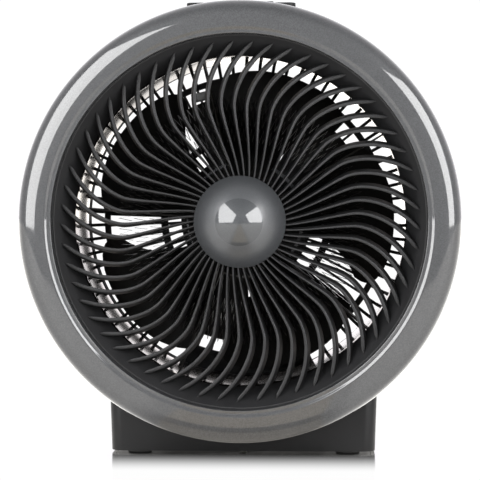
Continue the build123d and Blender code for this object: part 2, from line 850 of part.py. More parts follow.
panel_side_plane = Plane(origin=(0, front_y, 0), x_dir=(0, 1, 0), z_dir=(1, 0, 0))
panel_foot = axis_height + 0.85 * bowl_back_radius
with BuildPart() as control_panel:
    with BuildSketch(panel_side_plane):
        Polygon(
            (panel_front_depth, panel_foot),
            (panel_front_depth, panel_front_height),
            (panel_back_depth, panel_back_height),
            (panel_back_depth, panel_foot),
            align=None,
        )
    extrude(amount=panel_half_width, both=True)
    fillet(control_panel.edges().filter_by(Axis.Z), panel_corner)
    # hollow inside, open to the drum
    with BuildSketch(panel_side_plane):
        Polygon(
            (panel_front_depth + panel_wall, panel_foot),
            (panel_front_depth + panel_wall, panel_height(panel_front_depth) - panel_wall),
            (panel_back_depth - panel_wall, panel_height(panel_back_depth) - panel_wall),
            (panel_back_depth - panel_wall, panel_foot),
            align=None,
        )
    extrude(amount=panel_half_width - panel_wall, both=True, mode=Mode.SUBTRACT)
    # the foot follows the drum it sits on
    with BuildSketch(section):
        with BuildLine():
            seat_front_depth = rim_depth + rim_thickness + seat_gap
            seat_front = (bowl_radius(seat_front_depth) + seat_gap, seat_front_depth)
            seat_back = (bowl_back[0] + seat_gap, bowl_back[1])
            seat_mid = (bowl_mid_radius + seat_gap, bowl_mid_depth)
            ThreePointArc(seat_front, seat_mid, seat_back)
            Polyline(
                seat_back,
                (0, housing_back_depth),
                (0, ring_widest_depth),
                (rim_radius + seat_gap, ring_widest_depth),
                (rim_radius + seat_gap, seat_front_depth),
                seat_front,
            )
        make_face()
    revolve(axis=head_axis, mode=Mode.SUBTRACT)
    for x in (-knob_spacing / 2, knob_spacing / 2):
        with BuildSketch(panel_top(x, knob_depth)):
            Circle(knob_shaft_radius + seat_gap)
        extrude(amount=-2 * panel_wall, mode=Mode.SUBTRACT)
    with BuildSketch(panel_top(0, lens_depth)):
        Circle(lens_radius + running_gap)
    extrude(amount=-2 * panel_wall, mode=Mode.SUBTRACT)
save(control_panel, "control_panel")

with BuildPart() as pilot_lens:
    with BuildSketch(panel_top(0, lens_depth, sink=lens_height - lens_proud)):
        Circle(lens_radius)
    extrude(amount=lens_height)
    chamfer(pilot_lens.faces().sort_by(Axis.Z)[-1].edges(), lens_proud / 2)
save(pilot_lens, "pilot_lens")

knob_names = (("function", -knob_spacing / 2), ("thermostat", knob_spacing / 2))
shaft_in_knob = knob_height - hub_wall
for label, x in knob_names:
    knob_seat = panel_top(x, knob_depth, sink=-seat_gap)
    with BuildPart() as knob:
        with BuildSketch(knob_seat):
            Circle(knob_radius)
        extrude(amount=knob_skirt_height, taper=3)
        with BuildSketch(knob_seat.offset(knob_skirt_height)):
            RectangleRounded(knob_grip_width, 2 * knob_radius - hub_wall, knob_grip_width / 3)
        extrude(amount=knob_height - knob_skirt_height, taper=6)
        with BuildSketch(knob_seat):
            Circle(knob_shaft_radius + running_gap)
        extrude(amount=shaft_in_knob, mode=Mode.SUBTRACT)
    save(knob, f"{label}_knob")
    switch_top = panel_top(x, knob_depth, sink=panel_wall + seat_gap)
    shaft_foot = panel_top(x, knob_depth, sink=panel_wall + switch_height / 2)
    with BuildPart() as shaft:
        with BuildSketch(shaft_foot):
            Circle(knob_shaft_radius)
        extrude(amount=panel_wall + switch_height / 2 + shaft_in_knob)
    save(shaft, f"{label}_shaft")
    with BuildPart() as switch:
        with BuildSketch(switch_top):
            RectangleRounded(switch_size, switch_size, 2)
        extrude(amount=-switch_height)
        with BuildSketch(switch_top):
            Circle(knob_shaft_radius + running_gap)
        extrude(amount=-switch_height / 2 - seat_gap, mode=Mode.SUBTRACT)
    save(switch, "rotary_switch" if label == "function" else "thermostat")

# ---------------------------------------------------------------- cradle base
base_mid_depth = base_front_depth + base_length / 2
pocket_half_x = lug_thickness / 2 + washer_thickness + 2 * seat_gap
pin_head_x = base_half_width_top - pin_inset - pin_head_thickness
cavity_top_middle = axis_height - cradle_radius - base_wall
base_front_plane = Plane(origin=(0, front_y + base_front_depth, 0), x_dir=(1, 0, 0), z_dir=(0, -1, 0))
base_side_plane = Plane(origin=(0, front_y, 0), x_dir=(0, 1, 0), z_dir=(1, 0, 0))
tail_start_depth = housing_back_depth + grille_thickness + motor_seat_proud
cover_top = base_bottom + cover_thickness
with BuildPart() as base_shell:
    with BuildSketch(base_front_plane):
        Polygon(
            (-base_half_width_bottom, base_bottom),
            (base_half_width_bottom, base_bottom),
            (base_half_width_top, base_cheek_height),
            (-base_half_width_top, base_cheek_height),
            align=None,
        )
    extrude(amount=-base_length)
    # the cheeks fall away to a low tail behind the head
    with BuildSketch(base_side_plane):
        Polygon(
            (pivot_depth + 2 * lug_radius, base_cheek_height + moving_gap),
            (tail_start_depth + lug_radius, base_tail_height + base_tail_drop),
            (base_back_depth + moving_gap, base_tail_height - base_tail_drop),
            (base_back_depth + moving_gap, base_cheek_height + moving_gap),
            align=None,
        )
    extrude(amount=base_half_width_top + moving_gap, both=True, mode=Mode.SUBTRACT)
    upright_edges = base_shell.edges().filter_by(
        lambda e: abs(e.tangent_at(0.5).Z) > 0.9 and abs(e.center().X) > base_half_width_bottom / 2
    )
    fillet(upright_edges, base_corner)
    # saddle under the drum
    with BuildSketch(facing(base_front_depth)):
        Circle(cradle_radius)
    extrude(amount=-base_length, mode=Mode.SUBTRACT)
    # hollow under the saddle
    with BuildSketch(level(0, base_mid_depth, base_bottom)):
        Rectangle(
            2 * (lug_centre_x - pocket_half_x - base_wall),
            base_length - 2 * base_wall,
        )
    extrude(amount=cavity_top_middle - base_bottom, mode=Mode.SUBTRACT)
    # recess for the bottom cover
    with BuildSketch(level(0, base_mid_depth, base_bottom)):
        RectangleRounded(
            2 * (base_half_width_bottom - base_wall),
            base_length - 2 * base_wall,
            base_corner - base_wall,
        )
    extrude(amount=cover_thickness + seat_gap, mode=Mode.SUBTRACT)
    # pockets and pin holes for the hinge lugs
    for side in (-1, 1):
        with BuildSketch(level(side * lug_centre_x, pivot_depth, pivot_height - lug_radius - moving_gap)):
            Rectangle(2 * pocket_half_x, 2 * (lug_radius + lug_swing_room))
        extrude(amount=base_cheek_height, mode=Mode.SUBTRACT)
        with BuildSketch(hinge_plane(side * lug_centre_x)):
            Circle(pivot_pin_radius + running_gap)
        extrude(amount=side * (base_half_width_top - lug_centre_x), mode=Mode.SUBTRACT)
        with BuildSketch(hinge_plane(side * (pin_head_x - seat_gap))):
            Circle(pin_head_radius + seat_gap)
        extrude(amount=side * (pin_head_thickness + 2 * pin_inset), mode=Mode.SUBTRACT)
    # hole for the cord's grommet
    grommet_face = Plane(
        origin=(grommet_x, front_y + base_back_depth, grommet_height),
        x_dir=(-1, 0, 0),
        z_dir=(0, 1, 0),
    )
    with BuildSketch(grommet_face):
        Circle(grommet_radius - grommet_lip + running_gap)
    extrude(amount=-2 * base_wall, mode=Mode.SUBTRACT)
save(base_shell, "base_shell")

foot_places = [
    (side_x * (base_half_width_bottom - foot_inset_x), side_y * (base_length / 2 - foot_inset_y))
    for side_x in (-1, 1)
    for side_y in (-1, 1)
]
plunger_y = plunger_depth - base_mid_depth
with BuildPart() as base_cover:
    with BuildSketch(level(0, base_mid_depth, base_bottom)):
        RectangleRounded(
            2 * (base_half_width_bottom - base_wall - seat_gap),
            base_length - 2 * (base_wall + seat_gap),
            base_corner - base_wall - seat_gap,
        )
    extrude(amount=cover_thickness)
    with BuildSketch(level(0, base_mid_depth, base_bottom)):
        with Locations((0, plunger_y)):
            Circle(plunger_radius + running_gap)
    extrude(amount=cover_thickness, mode=Mode.SUBTRACT)
save(base_cover, "base_cover")

with BuildPart() as rubber_feet:
    with BuildSketch(level(0, base_mid_depth, 0)):
        with Locations(foot_places):
            Circle(foot_radius)
    extrude(amount=base_bottom - seat_gap)
save(rubber_feet, "rubber_feet")

# ---------------------------------------------------------------- tilt hinge
pin_tip_x = lug_centre_x - lug_thickness / 2
for side, name in ((-1, "left"), (1, "right")):
    with BuildPart() as pivot_pin:
        with BuildSketch(hinge_plane(side * pin_tip_x)):
            Circle(pivot_pin_radius)
        extrude(amount=side * (pin_head_x - pin_tip_x))
        with BuildSketch(hinge_plane(side * pin_head_x)):
            Circle(pin_head_radius)
        extrude(amount=side * pin_head_thickness)
    save(pivot_pin, f"pivot_pin_{name}")
    with BuildPart() as washer:
        with BuildSketch(hinge_plane(side * (lug_centre_x + lug_thickness / 2 + seat_gap))):
            Circle(washer_radius)
            Circle(pivot_pin_radius + running_gap, mode=Mode.SUBTRACT)
        extrude(amount=side * washer_thickness)
    save(washer, f"friction_washer_{name}")

# ---------------------------------------------------------------- tip-over switch
with BuildPart() as tip_plunger:
    with BuildSketch(level(0, plunger_depth, seat_gap)):
        Circle(plunger_radius)
    extrude(amount=plunger_length)
    chamfer(tip_plunger.faces().sort_by(Axis.Z)[0].edges(), plunger_radius / 3)
save(tip_plunger, "tip_plunger")

tip_switch_bottom = cover_top + seat_gap
with BuildPart() as tip_switch:
    with BuildSketch(level(0, plunger_depth, tip_switch_bottom)):
        Rectangle(tip_switch_width, tip_switch_length)
    extrude(amount=cavity_top_middle - seat_gap - tip_switch_bottom)
    with BuildSketch(level(0, plunger_depth, tip_switch_bottom)):
        Circle(plunger_radius + running_gap)
    extrude(amount=plunger_length + 2 * seat_gap - tip_switch_bottom, mode=Mode.SUBTRACT)
save(tip_switch, "tip_switch")

# ---------------------------------------------------------------- cord grommet
with BuildPart() as cord_grommet:
    with BuildSketch(grommet_face.offset(seat_gap)):
        Circle(grommet_radius)
        Circle(grommet_bore, mode=Mode.SUBTRACT)
    extrude(amount=grommet_lip)
    with BuildSketch(grommet_face.offset(seat_gap)):
        Circle(grommet_radius - grommet_lip)
        Circle(grommet_bore, mode=Mode.SUBTRACT)
    extrude(amount=-base_wall - seat_gap - grommet_lip)
save(cord_grommet, "cord_grommet")
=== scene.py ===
"""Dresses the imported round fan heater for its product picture.

Sizes in the dataclasses are millimetres, as on a drawing. They turn into metres where a mesh is made.
Depths are measured backwards from the front crest of the ring, and angles anticlockwise from the
right as seen from the front.
"""

from __future__ import annotations

import logging
import math
from collections.abc import Callable, Sequence
from dataclasses import dataclass
from enum import Enum

import bmesh
import bpy
from mathutils import Matrix, Vector

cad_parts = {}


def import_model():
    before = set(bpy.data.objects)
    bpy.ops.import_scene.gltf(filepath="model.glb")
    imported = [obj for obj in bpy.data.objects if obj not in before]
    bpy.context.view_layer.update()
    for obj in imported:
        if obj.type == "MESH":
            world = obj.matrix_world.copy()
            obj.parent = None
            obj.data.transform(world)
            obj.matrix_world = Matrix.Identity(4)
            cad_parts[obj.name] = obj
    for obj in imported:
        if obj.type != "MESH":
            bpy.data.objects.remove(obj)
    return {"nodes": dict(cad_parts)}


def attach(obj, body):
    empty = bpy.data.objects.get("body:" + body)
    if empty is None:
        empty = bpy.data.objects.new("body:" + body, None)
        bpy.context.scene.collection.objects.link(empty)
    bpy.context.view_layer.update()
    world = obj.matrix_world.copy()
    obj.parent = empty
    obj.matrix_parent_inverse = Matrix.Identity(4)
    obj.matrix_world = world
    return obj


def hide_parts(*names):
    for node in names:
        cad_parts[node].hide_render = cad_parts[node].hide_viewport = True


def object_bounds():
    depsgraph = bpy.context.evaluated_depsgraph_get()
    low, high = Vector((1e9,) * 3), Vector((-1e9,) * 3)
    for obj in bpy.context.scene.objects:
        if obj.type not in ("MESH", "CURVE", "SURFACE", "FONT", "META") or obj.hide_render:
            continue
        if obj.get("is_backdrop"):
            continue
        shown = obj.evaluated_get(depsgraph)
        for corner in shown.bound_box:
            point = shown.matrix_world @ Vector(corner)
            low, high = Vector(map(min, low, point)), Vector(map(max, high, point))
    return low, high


LOG = logging.getLogger("fan_heater")
MM = 0.001
CREASE = 34.0  # degrees, past which an edge stays crisp
COPY_CREASE = 40.0  # the same on a piece copied from the frame
BACKDROP = 1.05  # how brightly the camera sees floor and surroundings
HERE = (0.0, 0.0, 0.0)
Span = tuple[float, float]
Profile = list[Span]
Colour = tuple[float, float, float]


class Body(Enum):
    """The moving bodies that pieces ride on."""

    BASE = "base"
    HEAD = "head"
    FAN = "fan"
    FUNCTION = "function_control"
    THERMOSTAT = "thermostat_control"


@dataclass(frozen=True)
class HeadPlace:
    """Where the head stands in the row frame.

    Attributes:
        front_y: y of the ring's crest, in millimetres.
        axis_height: height of the head's axis.
    """

    front_y: float = -84.9
    axis_height: float = 154.5

    def point(self, radius: float, angle: float, depth: float) -> Vector:
        """Turn a radius, an angle in degrees and a depth into a point.

        Args:
            radius: distance from the axis, in millimetres.
            angle: degrees anticlockwise from the right.
            depth: millimetres behind the crest.

        Returns:
            The point in metres.
        """
        turn = math.radians(angle)
        x = radius * math.cos(turn)
        z = self.axis_height + radius * math.sin(turn)
        return Vector((x, self.front_y + depth, z)) * MM

    def y(self, depth: float) -> float:
        """Give the y in metres of a depth in millimetres."""
        return (self.front_y + depth) * MM

    @property
    def centre(self) -> tuple[float, float, float]:
        """The point in metres that shapes are repeated round."""
        return 0, 0, self.axis_height * MM


HEAD = HeadPlace()


# ------------------------------------------------------------------ mesh helpers
def put_in_scene(name: str, data: bpy.types.ID) -> bpy.types.Object:
    """Make an object of a mesh, a text, a light or a camera and link it.

    Args:
        name: the object's name.
        data: what it shows.

    Returns:
        The new object, at the origin.
    """
    made = bpy.data.objects.new(name, data)
    bpy.context.scene.collection.objects.link(made)
    return made


def shade(piece: bpy.types.Object, crease: float = CREASE) -> None:
    """Shade a piece smooth, apart from edges sharper than so many degrees."""
    piece.data.shade_smooth()
    piece.data.set_sharp_from_angle(angle=math.radians(crease))


def make_object(
    name: str, points: Sequence[Vector] = (Vector(),), faces: Sequence[Sequence[int]] = ()
) -> bpy.types.Object:
    """Make a mesh object with outward faces and link it.

    Args:
        name: the piece's name.
        points: corner points in metres; one at the origin carries a node tree.
        faces: corner numbers of each face.

    Returns:
        The new object, at the origin.
    """
    mesh = bpy.data.meshes.new(name)
    mesh.from_pydata([tuple(p) for p in points], [], [list(f) for f in faces])
    piece = put_in_scene(name, mesh)
    tidy_mesh(piece)
    return piece


def tidy_mesh(piece: bpy.types.Object) -> None:
    """Point a closed mesh's faces outwards and shade it.

    Args:
        piece: the object to treat.
    """
    work = bmesh.new()
    work.from_mesh(piece.data)
    bmesh.ops.recalc_face_normals(work, faces=work.faces)
    work.to_mesh(piece.data)
    work.free()
    shade(piece)


def settle(piece: bpy.types.Object) -> None:
    """Turn a piece's modifiers into plain mesh and take them off.

    Args:
        piece: the object to treat.
    """
    bpy.context.view_layer.update()
    graph = bpy.context.evaluated_depsgraph_get()
    mesh = bpy.data.meshes.new_from_object(piece.evaluated_get(graph))
    piece.modifiers.clear()
    old = piece.data
    piece.data = mesh
    bpy.data.meshes.remove(old)


def join_pieces(name: str, parts: Sequence[bpy.types.Object]) -> bpy.types.Object:
    """Join several new objects into one.

    Args:
        name: the joined piece's name.
        parts: the objects, which are used up.

    Returns:
        The joined object.
    """
    work = bmesh.new()
    for part in parts:
        work.from_mesh(part.data)
    mesh = bpy.data.meshes.new(name)
    work.to_mesh(mesh)
    work.free()
    for part in parts:
        bpy.data.objects.remove(part)
    piece = put_in_scene(name, mesh)
    shade(piece)
    return piece


def rounded(corners: Sequence[tuple[float, float, float]], steps: int = 3, most: float = 0.45) -> Profile:
    """Round the corners of a closed outline.

    Args:
        corners: radius, depth and rounding of each corner.
        steps: spans along each rounding.
        most: largest share of a side that one rounding may take.

    Returns:
        The outline's points.
    """
    outline: Profile = []
    count = len(corners)
    for number, (radius, depth, rounding) in enumerate(corners):
        here = Vector((radius, depth))
        before = Vector(corners[number - 1][:2])
        after = Vector(corners[(number + 1) % count][:2])
        if rounding <= 0:
            outline.append((radius, depth))
            continue
        cut_before = min(rounding, (before - here).length * most)
        cut_after = min(rounding, (after - here).length * most)
        start = here + (before - here).normalized() * cut_before
        end = here + (after - here).normalized() * cut_after
        for step in range(steps + 1):
            share = step / steps
            point = start * (1 - share) ** 2 + here * 2 * share * (1 - share) + end * share**2
            outline.append((point.x, point.y))
    return outline


def flank(crest: Span, reach: Span, fullness: float, steps: int) -> Profile:
    """Give the points down one side of a rounded crest.

    Args:
        crest: radius and depth of the crest.
        reach: how far the side goes along the radius and along the depth.
        fullness: two gives an ellipse, and more gives a flatter crest.
        steps: spans along it.

    Returns:
        The points, both ends included.
    """
    points: Profile = []
    for step in range(steps + 1):
        turn = math.radians(90 * step / steps)
        out = math.sin(turn) ** (2 / fullness)
        fall = 1 - math.cos(turn) ** (2 / fullness)
        points.append((crest[0] + reach[0] * out, crest[1] + reach[1] * fall))
    return points


def lathe(name: str, profile: Profile, segments: int = 192) -> bpy.types.Object:
    """Turn a closed outline round the head's axis.

    Args:
        name: the piece's name.
        profile: radius and depth of each point, in millimetres.
        segments: spans round the axis.

    Returns:
        The turned object.
    """
    points: list[Vector] = []
    rings: list[list[int]] = []
    for radius, depth in profile:
        count = 1 if radius < 1e-6 else segments
        rings.append([len(points) + i for i in range(count)])
        points += [HEAD.point(radius, 360 * i / segments, depth) for i in range(count)]
    faces: list[list[int]] = []
    for ring, following in zip(rings, rings[1:] + rings[:1]):
        if len(ring) == len(following) == 1:
            continue
        for i in range(segments):
            j = i + 1
            corners = (
                ring[i % len(ring)],
                ring[j % len(ring)],
                following[j % len(following)],
                following[i % len(following)],
            )
            faces.append(list(dict.fromkeys(corners)))
    return make_object(name, points, faces)


def sector_plate(name: str, radii: Span, angles: Span, depths: Span, step: float = 2.5) -> bpy.types.Object:
    """Make a flat plate that fills part of a ring.

    Args:
        name: the piece's name.
        radii: inner and outer radius.
        angles: first and last angle in degrees.
        depths: front and back depth.
        step: about how many degrees one span covers.

    Returns:
        The plate.
    """
    spans = round((angles[1] - angles[0]) / step)
    corners = [(radii[0], depths[0]), (radii[1], depths[0]), (radii[1], depths[1]), (radii[0], depths[1])]
    points: list[Vector] = []
    for i in range(spans + 1):
        angle = angles[0] + (angles[1] - angles[0]) * i / spans
        points += [HEAD.point(radius, angle, depth) for radius, depth in corners]
    faces: list[list[int]] = [[0, 1, 2, 3], [4 * spans + k for k in (3, 2, 1, 0)]]
    for i in range(spans):
        for k in range(4):
            low = 4 * i
            faces.append([low + k, low + (k + 1) % 4, low + 4 + (k + 1) % 4, low + 4 + k])
    return make_object(name, points, faces)


def box_piece(name: str, low: Sequence[float], high: Sequence[float]) -> bpy.types.Object:
    """Make a box between two corners.

    Args:
        name: the piece's name.
        low: its left, front and lower sides, in metres.
        high: its right, back and upper sides.

    Returns:
        The box.
    """
    across, along, upwards = zip(low, high)
    points = [Vector((x, y, z)) for x in across for y in along for z in upwards]
    faces = [(0, 1, 3, 2), (4, 6, 7, 5), (0, 4, 5, 1), (2, 3, 7, 6), (0, 2, 6, 4), (1, 5, 7, 3)]
    return make_object(name, points, faces)


def cut_away(piece: bpy.types.Object, cutter: bpy.types.Object) -> None:
    """Cut one closed piece out of another and throw the cutter away.

    Args:
        piece: the object to cut.
        cutter: what is cut out of it.
    """
    modifier = piece.modifiers.new("cut", "BOOLEAN")
    modifier.operation = "DIFFERENCE"
    modifier.solver = "EXACT"
    modifier.object = cutter
    settle(piece)
    bpy.data.objects.remove(cutter)
    tidy_mesh(piece)


def refined_copy(
    nodes: dict[str, bpy.types.Object], node: str, name: str, bevel: float, spans: int = 2
) -> bpy.types.Object:
    """Copy a frame node, merge its loose triangles and soften its edges.

    Args:
        nodes: the frame's nodes by name.
        node: the node to copy.
        name: the new piece's name.
        bevel: width of the softened edges in millimetres.
        spans: spans across each softened edge.

    Returns:
        The new piece.
    """
    same_point, flat, sharp = 0.002 * MM, math.radians(0.6), math.radians(32)
    mesh = nodes[node].data.copy()
    mesh.materials.clear()
    work = bmesh.new()
    work.from_mesh(mesh)
    bmesh.ops.remove_doubles(work, verts=work.verts, dist=same_point)
    bmesh.ops.dissolve_limit(work, angle_limit=flat, verts=work.verts, edges=work.edges)
    work.to_mesh(mesh)
    work.free()
    piece = put_in_scene(name, mesh)
    modifier = piece.modifiers.new("soft edges", "BEVEL")
    modifier.width = bevel * MM
    modifier.segments = spans
    modifier.limit_method = "ANGLE"
    modifier.angle_limit = sharp
    settle(piece)
    shade(piece, COPY_CREASE)
    return piece


# ------------------------------------------------------------------ node helpers
class Field:
    """A value in a node tree that adds the nodes it needs when it is reckoned with."""

    def __init__(self, graph: NodeGraph, socket: bpy.types.NodeSocket) -> None:
        """Wrap an output socket of a graph."""
        self.graph = graph
        self.socket = socket

    def reckon(self, operation: str, *operands: Field | float) -> Field:
        """Add one math node.

        Args:
            operation: the math node's operation.
            operands: its inputs, in order.

        Returns:
            Its result.
        """
        node = self.graph.tree.nodes.new("ShaderNodeMath")
        node.operation = operation
        for socket, operand in zip(node.inputs, operands):
            self.graph.feed(socket, operand)
        return Field(self.graph, node.outputs[0])

    def __add__(self, other: Field | float) -> Field:
        """Add."""
        return self.reckon("ADD", self, other)

    __radd__ = __add__

    def __sub__(self, other: Field | float) -> Field:
        """Take away."""
        return self.reckon("SUBTRACT", self, other)

    def __rsub__(self, other: float) -> Field:
        """Take away from a number."""
        return self.reckon("SUBTRACT", other, self)

    def __mul__(self, other: Field | float) -> Field:
        """Multiply."""
        return self.reckon("MULTIPLY", self, other)

    __rmul__ = __mul__

    def __truediv__(self, other: Field | float) -> Field:
        """Divide."""
        return self.reckon("DIVIDE", self, other)

    def __rtruediv__(self, other: float) -> Field:
        """Divide a number by this."""
        return self.reckon("DIVIDE", other, self)

    def __pow__(self, other: Field | float) -> Field:
        """Raise to a power."""
        return self.reckon("POWER", self, other)

    def least(self, other: Field | float) -> Field:
        """Give the smaller of two values."""
        return self.reckon("MINIMUM", self, other)

    def most(self, other: Field | float) -> Field:
        """Give the larger of two values."""
        return self.reckon("MAXIMUM", self, other)

    def sine(self) -> Field:
        """Give the sine."""
        return self.reckon("SINE", self)

    def cosine(self) -> Field:
        """Give the cosine."""
        return self.reckon("COSINE", self)

    def size(self) -> Field:
        """Give the value without its sign."""
        return self.reckon("ABSOLUTE", self)

    def square_root(self) -> Field:
        """Give the square root."""
        return self.reckon("SQRT", self)

    def over(self, other: Field | float) -> Field:
        """Give one where this is larger, and nought elsewhere."""
        return self.reckon("GREATER_THAN", self, other)

    def under(self, other: Field | float) -> Field:
        """Give one where this is smaller, and nought elsewhere."""
        return self.reckon("LESS_THAN", self, other)

    def remainder(self, other: Field | float) -> Field:
        """Give what is left after dividing."""
        return self.reckon("MODULO", self, other)


Amount = Field | float
Rule = Callable[[Field, Field, Field], tuple[Amount, Amount, Amount]]


class NodeGraph:
    """A node tree that is built in code."""

    def __init__(self, tree: bpy.types.NodeTree) -> None:
        """Take the tree that the nodes go into."""
        self.tree = tree

    def feed(self, socket: bpy.types.NodeSocket, value: object) -> None:
        """Link or set one input socket.

        Args:
            socket: the input.
            value: a field or socket to link, or else a plain value.
        """
        if isinstance(value, Field):
            value = value.socket
        if isinstance(value, bpy.types.NodeSocket):
            self.tree.links.new(value, socket)
        else:
            socket.default_value = value

    def node(
        self, kind: str, inputs: dict[str | int, object] | None = None, **settings: object
    ) -> bpy.types.Node:
        """Add a node.

        Args:
            kind: the node's type.
            inputs: values or sockets by the input's name or number.
            settings: the node's own options.

        Returns:
            The node.
        """
        made = self.tree.nodes.new(kind)
        for key, value in settings.items():
            setattr(made, key, value)
        for key, value in (inputs or {}).items():
            self.feed(made.inputs[key], value)
        return made

    def parts(self, vector: bpy.types.NodeSocket) -> tuple[Field, Field, Field]:
        """Split a vector into its x, y and z.

        Args:
            vector: the socket that gives it.

        Returns:
            The three values.
        """
        split = self.node("ShaderNodeSeparateXYZ", {"Vector": vector})
        x, y, z = (Field(self, socket) for socket in split.outputs)
        return x, y, z

    def mapped(self, value: object, given: Span, wanted: Span, easing: str = "SMOOTHSTEP") -> Field:
        """Map one range of a value onto another.

        Args:
            value: the field or socket.
            given: the range it has.
            wanted: the range it gets.
            easing: how it goes from one end to the other.

        Returns:
            The mapped value.
        """
        inputs = dict(zip(("From Min", "From Max", "To Min", "To Max"), (*given, *wanted)), Value=value)
        made = self.node("ShaderNodeMapRange", inputs, interpolation_type=easing)
        return Field(self, made.outputs["Result"])

    def blend(self, share: object, first: Colour, second: Colour) -> bpy.types.NodeSocket:
        """Blend two colours.

        Args:
            share: how much of the second.
            first: the one colour.
            second: the other.

        Returns:
            The socket with the blend.
        """
        inputs = {"Factor": share, 6: (*first, 1.0), 7: (*second, 1.0)}
        return self.node("ShaderNodeMix", inputs, data_type="RGBA").outputs[2]

    def choice(
        self, share: object, first: bpy.types.NodeSocket, second: bpy.types.NodeSocket
    ) -> bpy.types.NodeSocket:
        """Mix two shaders.

        Args:
            share: how much of the second.
            first: the one shader.
            second: the other.

        Returns:
            The mixed shader.
        """
        return self.node("ShaderNodeMixShader", {"Fac": share, 1: first, 2: second}).outputs[0]


class GeometryGraph(NodeGraph):
    """A geometry-node tree with named sizes, built in code and settled into a plain mesh."""

    def __init__(self, name: str) -> None:
        """Start an empty tree with a geometry input and output.

        Args:
            name: the tree's name.
        """
        super().__init__(bpy.data.node_groups.new(name, "GeometryNodeTree"))
        for side in ("INPUT", "OUTPUT"):
            self.tree.interface.new_socket("Geometry", in_out=side, socket_type="NodeSocketGeometry")
        self.entry = self.tree.nodes.new("NodeGroupInput")
        self.result = self.tree.nodes.new("NodeGroupOutput")
        self.values: dict[str, float | int] = {}

    @property
    def given(self) -> bpy.types.NodeSocket:
        """The geometry that the modifier's object brings."""
        return self.entry.outputs["Geometry"]

    def named(self, name: str, value: float | int) -> Field:
        """Add a named size to the tree.

        Args:
            name: what the size is.
            value: its value, in metres, radians or as a count.

        Returns:
            The size as a field.
        """
        kind = "NodeSocketInt" if isinstance(value, int) else "NodeSocketFloat"
        socket = self.tree.interface.new_socket(name, in_out="INPUT", socket_type=kind)
        socket.default_value = value
        self.values[socket.identifier] = value
        return Field(self, self.entry.outputs[name])

    def vector(self, x: Field | float, y: Field | float, z: Field | float) -> bpy.types.NodeSocket:
        """Join three values into a vector."""
        return self.node("ShaderNodeCombineXYZ", {"X": x, "Y": y, "Z": z}).outputs[0]

    def index(self) -> Field:
        """Give the number of each element."""
        return Field(self, self.node("GeometryNodeInputIndex").outputs[0])

    def bent_box(self, counts: tuple[int, int, int], rule: Rule) -> bpy.types.NodeSocket:
        """Make a closed box whose points a rule moves into shape.

        Args:
            counts: points along, across and back.
            rule: turns shares along (0 to 1), across (-1 to 1) and back (0 to 1) into a place.

        Returns:
            The shaped geometry.
        """
        sides = dict(zip(("Vertices X", "Vertices Y", "Vertices Z"), counts))
        cube = self.node("GeometryNodeMeshCube", {"Size": (1.0, 1.0, 1.0), **sides})
        x, y, z = self.parts(self.node("GeometryNodeInputPosition").outputs[0])
        place = self.vector(*rule(x + 0.5, y * 2.0, 0.5 - z))
        moved = self.node("GeometryNodeSetPosition", {"Geometry": cube.outputs["Mesh"], "Position": place})
        return moved.outputs["Geometry"]

    def copies(
        self,
        shape: bpy.types.NodeSocket,
        count: Field,
        turn: bpy.types.NodeSocket,
        centre: tuple[float, float, float] = HERE,
        chosen: Field | None = None,
    ) -> bpy.types.NodeSocket:
        """Repeat a shape on one spot, each copy turned in its own way.

        Args:
            shape: the geometry to repeat.
            count: how many.
            turn: the angles of each copy about x, y and z, in radians.
            centre: the spot, in metres.
            chosen: nought for the copies that are left out.

        Returns:
            The copies.
        """
        spots = {"Count": count, "Start Location": centre, "Offset": HERE}
        line = self.node("GeometryNodeMeshLine", spots).outputs["Mesh"]
        rotation = self.node("FunctionNodeEulerToRotation", {"Euler": turn}).outputs[0]
        spread = {"Points": line, "Instance": shape, "Rotation": rotation}
        if chosen is not None:
            spread["Selection"] = chosen
        return self.node("GeometryNodeInstanceOnPoints", spread).outputs["Instances"]

    def ring_of(
        self,
        shape: bpy.types.NodeSocket,
        count: Field,
        centre: tuple[float, float, float],
        first: float = 0.0,
        keep: Callable[[Field], Field] | None = None,
    ) -> bpy.types.NodeSocket:
        """Repeat a shape round an axis that runs along y through a centre.

        Args:
            shape: the geometry to repeat, built about the axis.
            count: how many.
            centre: a point on the axis, in metres.
            first: angle of the first one, in radians.
            keep: turns each one's angle into nought where it is left out.

        Returns:
            The repeated geometry.
        """
        angle = self.index() * (math.tau / count) + first
        turn = self.vector(0.0, angle * -1.0, 0.0)
        return self.copies(shape, count, turn, centre, keep(angle) if keep else None)

    def joined(self, shapes: Sequence[bpy.types.NodeSocket]) -> bpy.types.NodeSocket:
        """Join several geometries.

        Args:
            shapes: the geometries, in order.

        Returns:
            The one geometry.
        """
        made = self.node("GeometryNodeJoinGeometry")
        for shape in shapes:
            self.feed(made.inputs[0], shape)
        return made.outputs[0]

    def settle_on(
        self, piece: bpy.types.Object, shapes: Sequence[bpy.types.NodeSocket], finish: Finishes
    ) -> bpy.types.Object:
        """Finish the tree and turn its result into the piece's plain mesh.

        Args:
            piece: the object that takes the result.
            shapes: the geometries to join.
            finish: the finish of all of them.

        Returns:
            The same object.
        """
        whole = self.node("GeometryNodeRealizeInstances", {"Geometry": self.joined(shapes)}).outputs[0]
        painted = {"Geometry": whole, "Material": finish.material()}
        self.feed(self.result.inputs[0], self.node("GeometryNodeSetMaterial", painted).outputs[0])
        modifier = piece.modifiers.new(self.tree.name, "NODES")
        modifier.node_group = self.tree
        for identifier, value in self.values.items():
            modifier[identifier] = value
        settle(piece)
        shade(piece)
        return piece


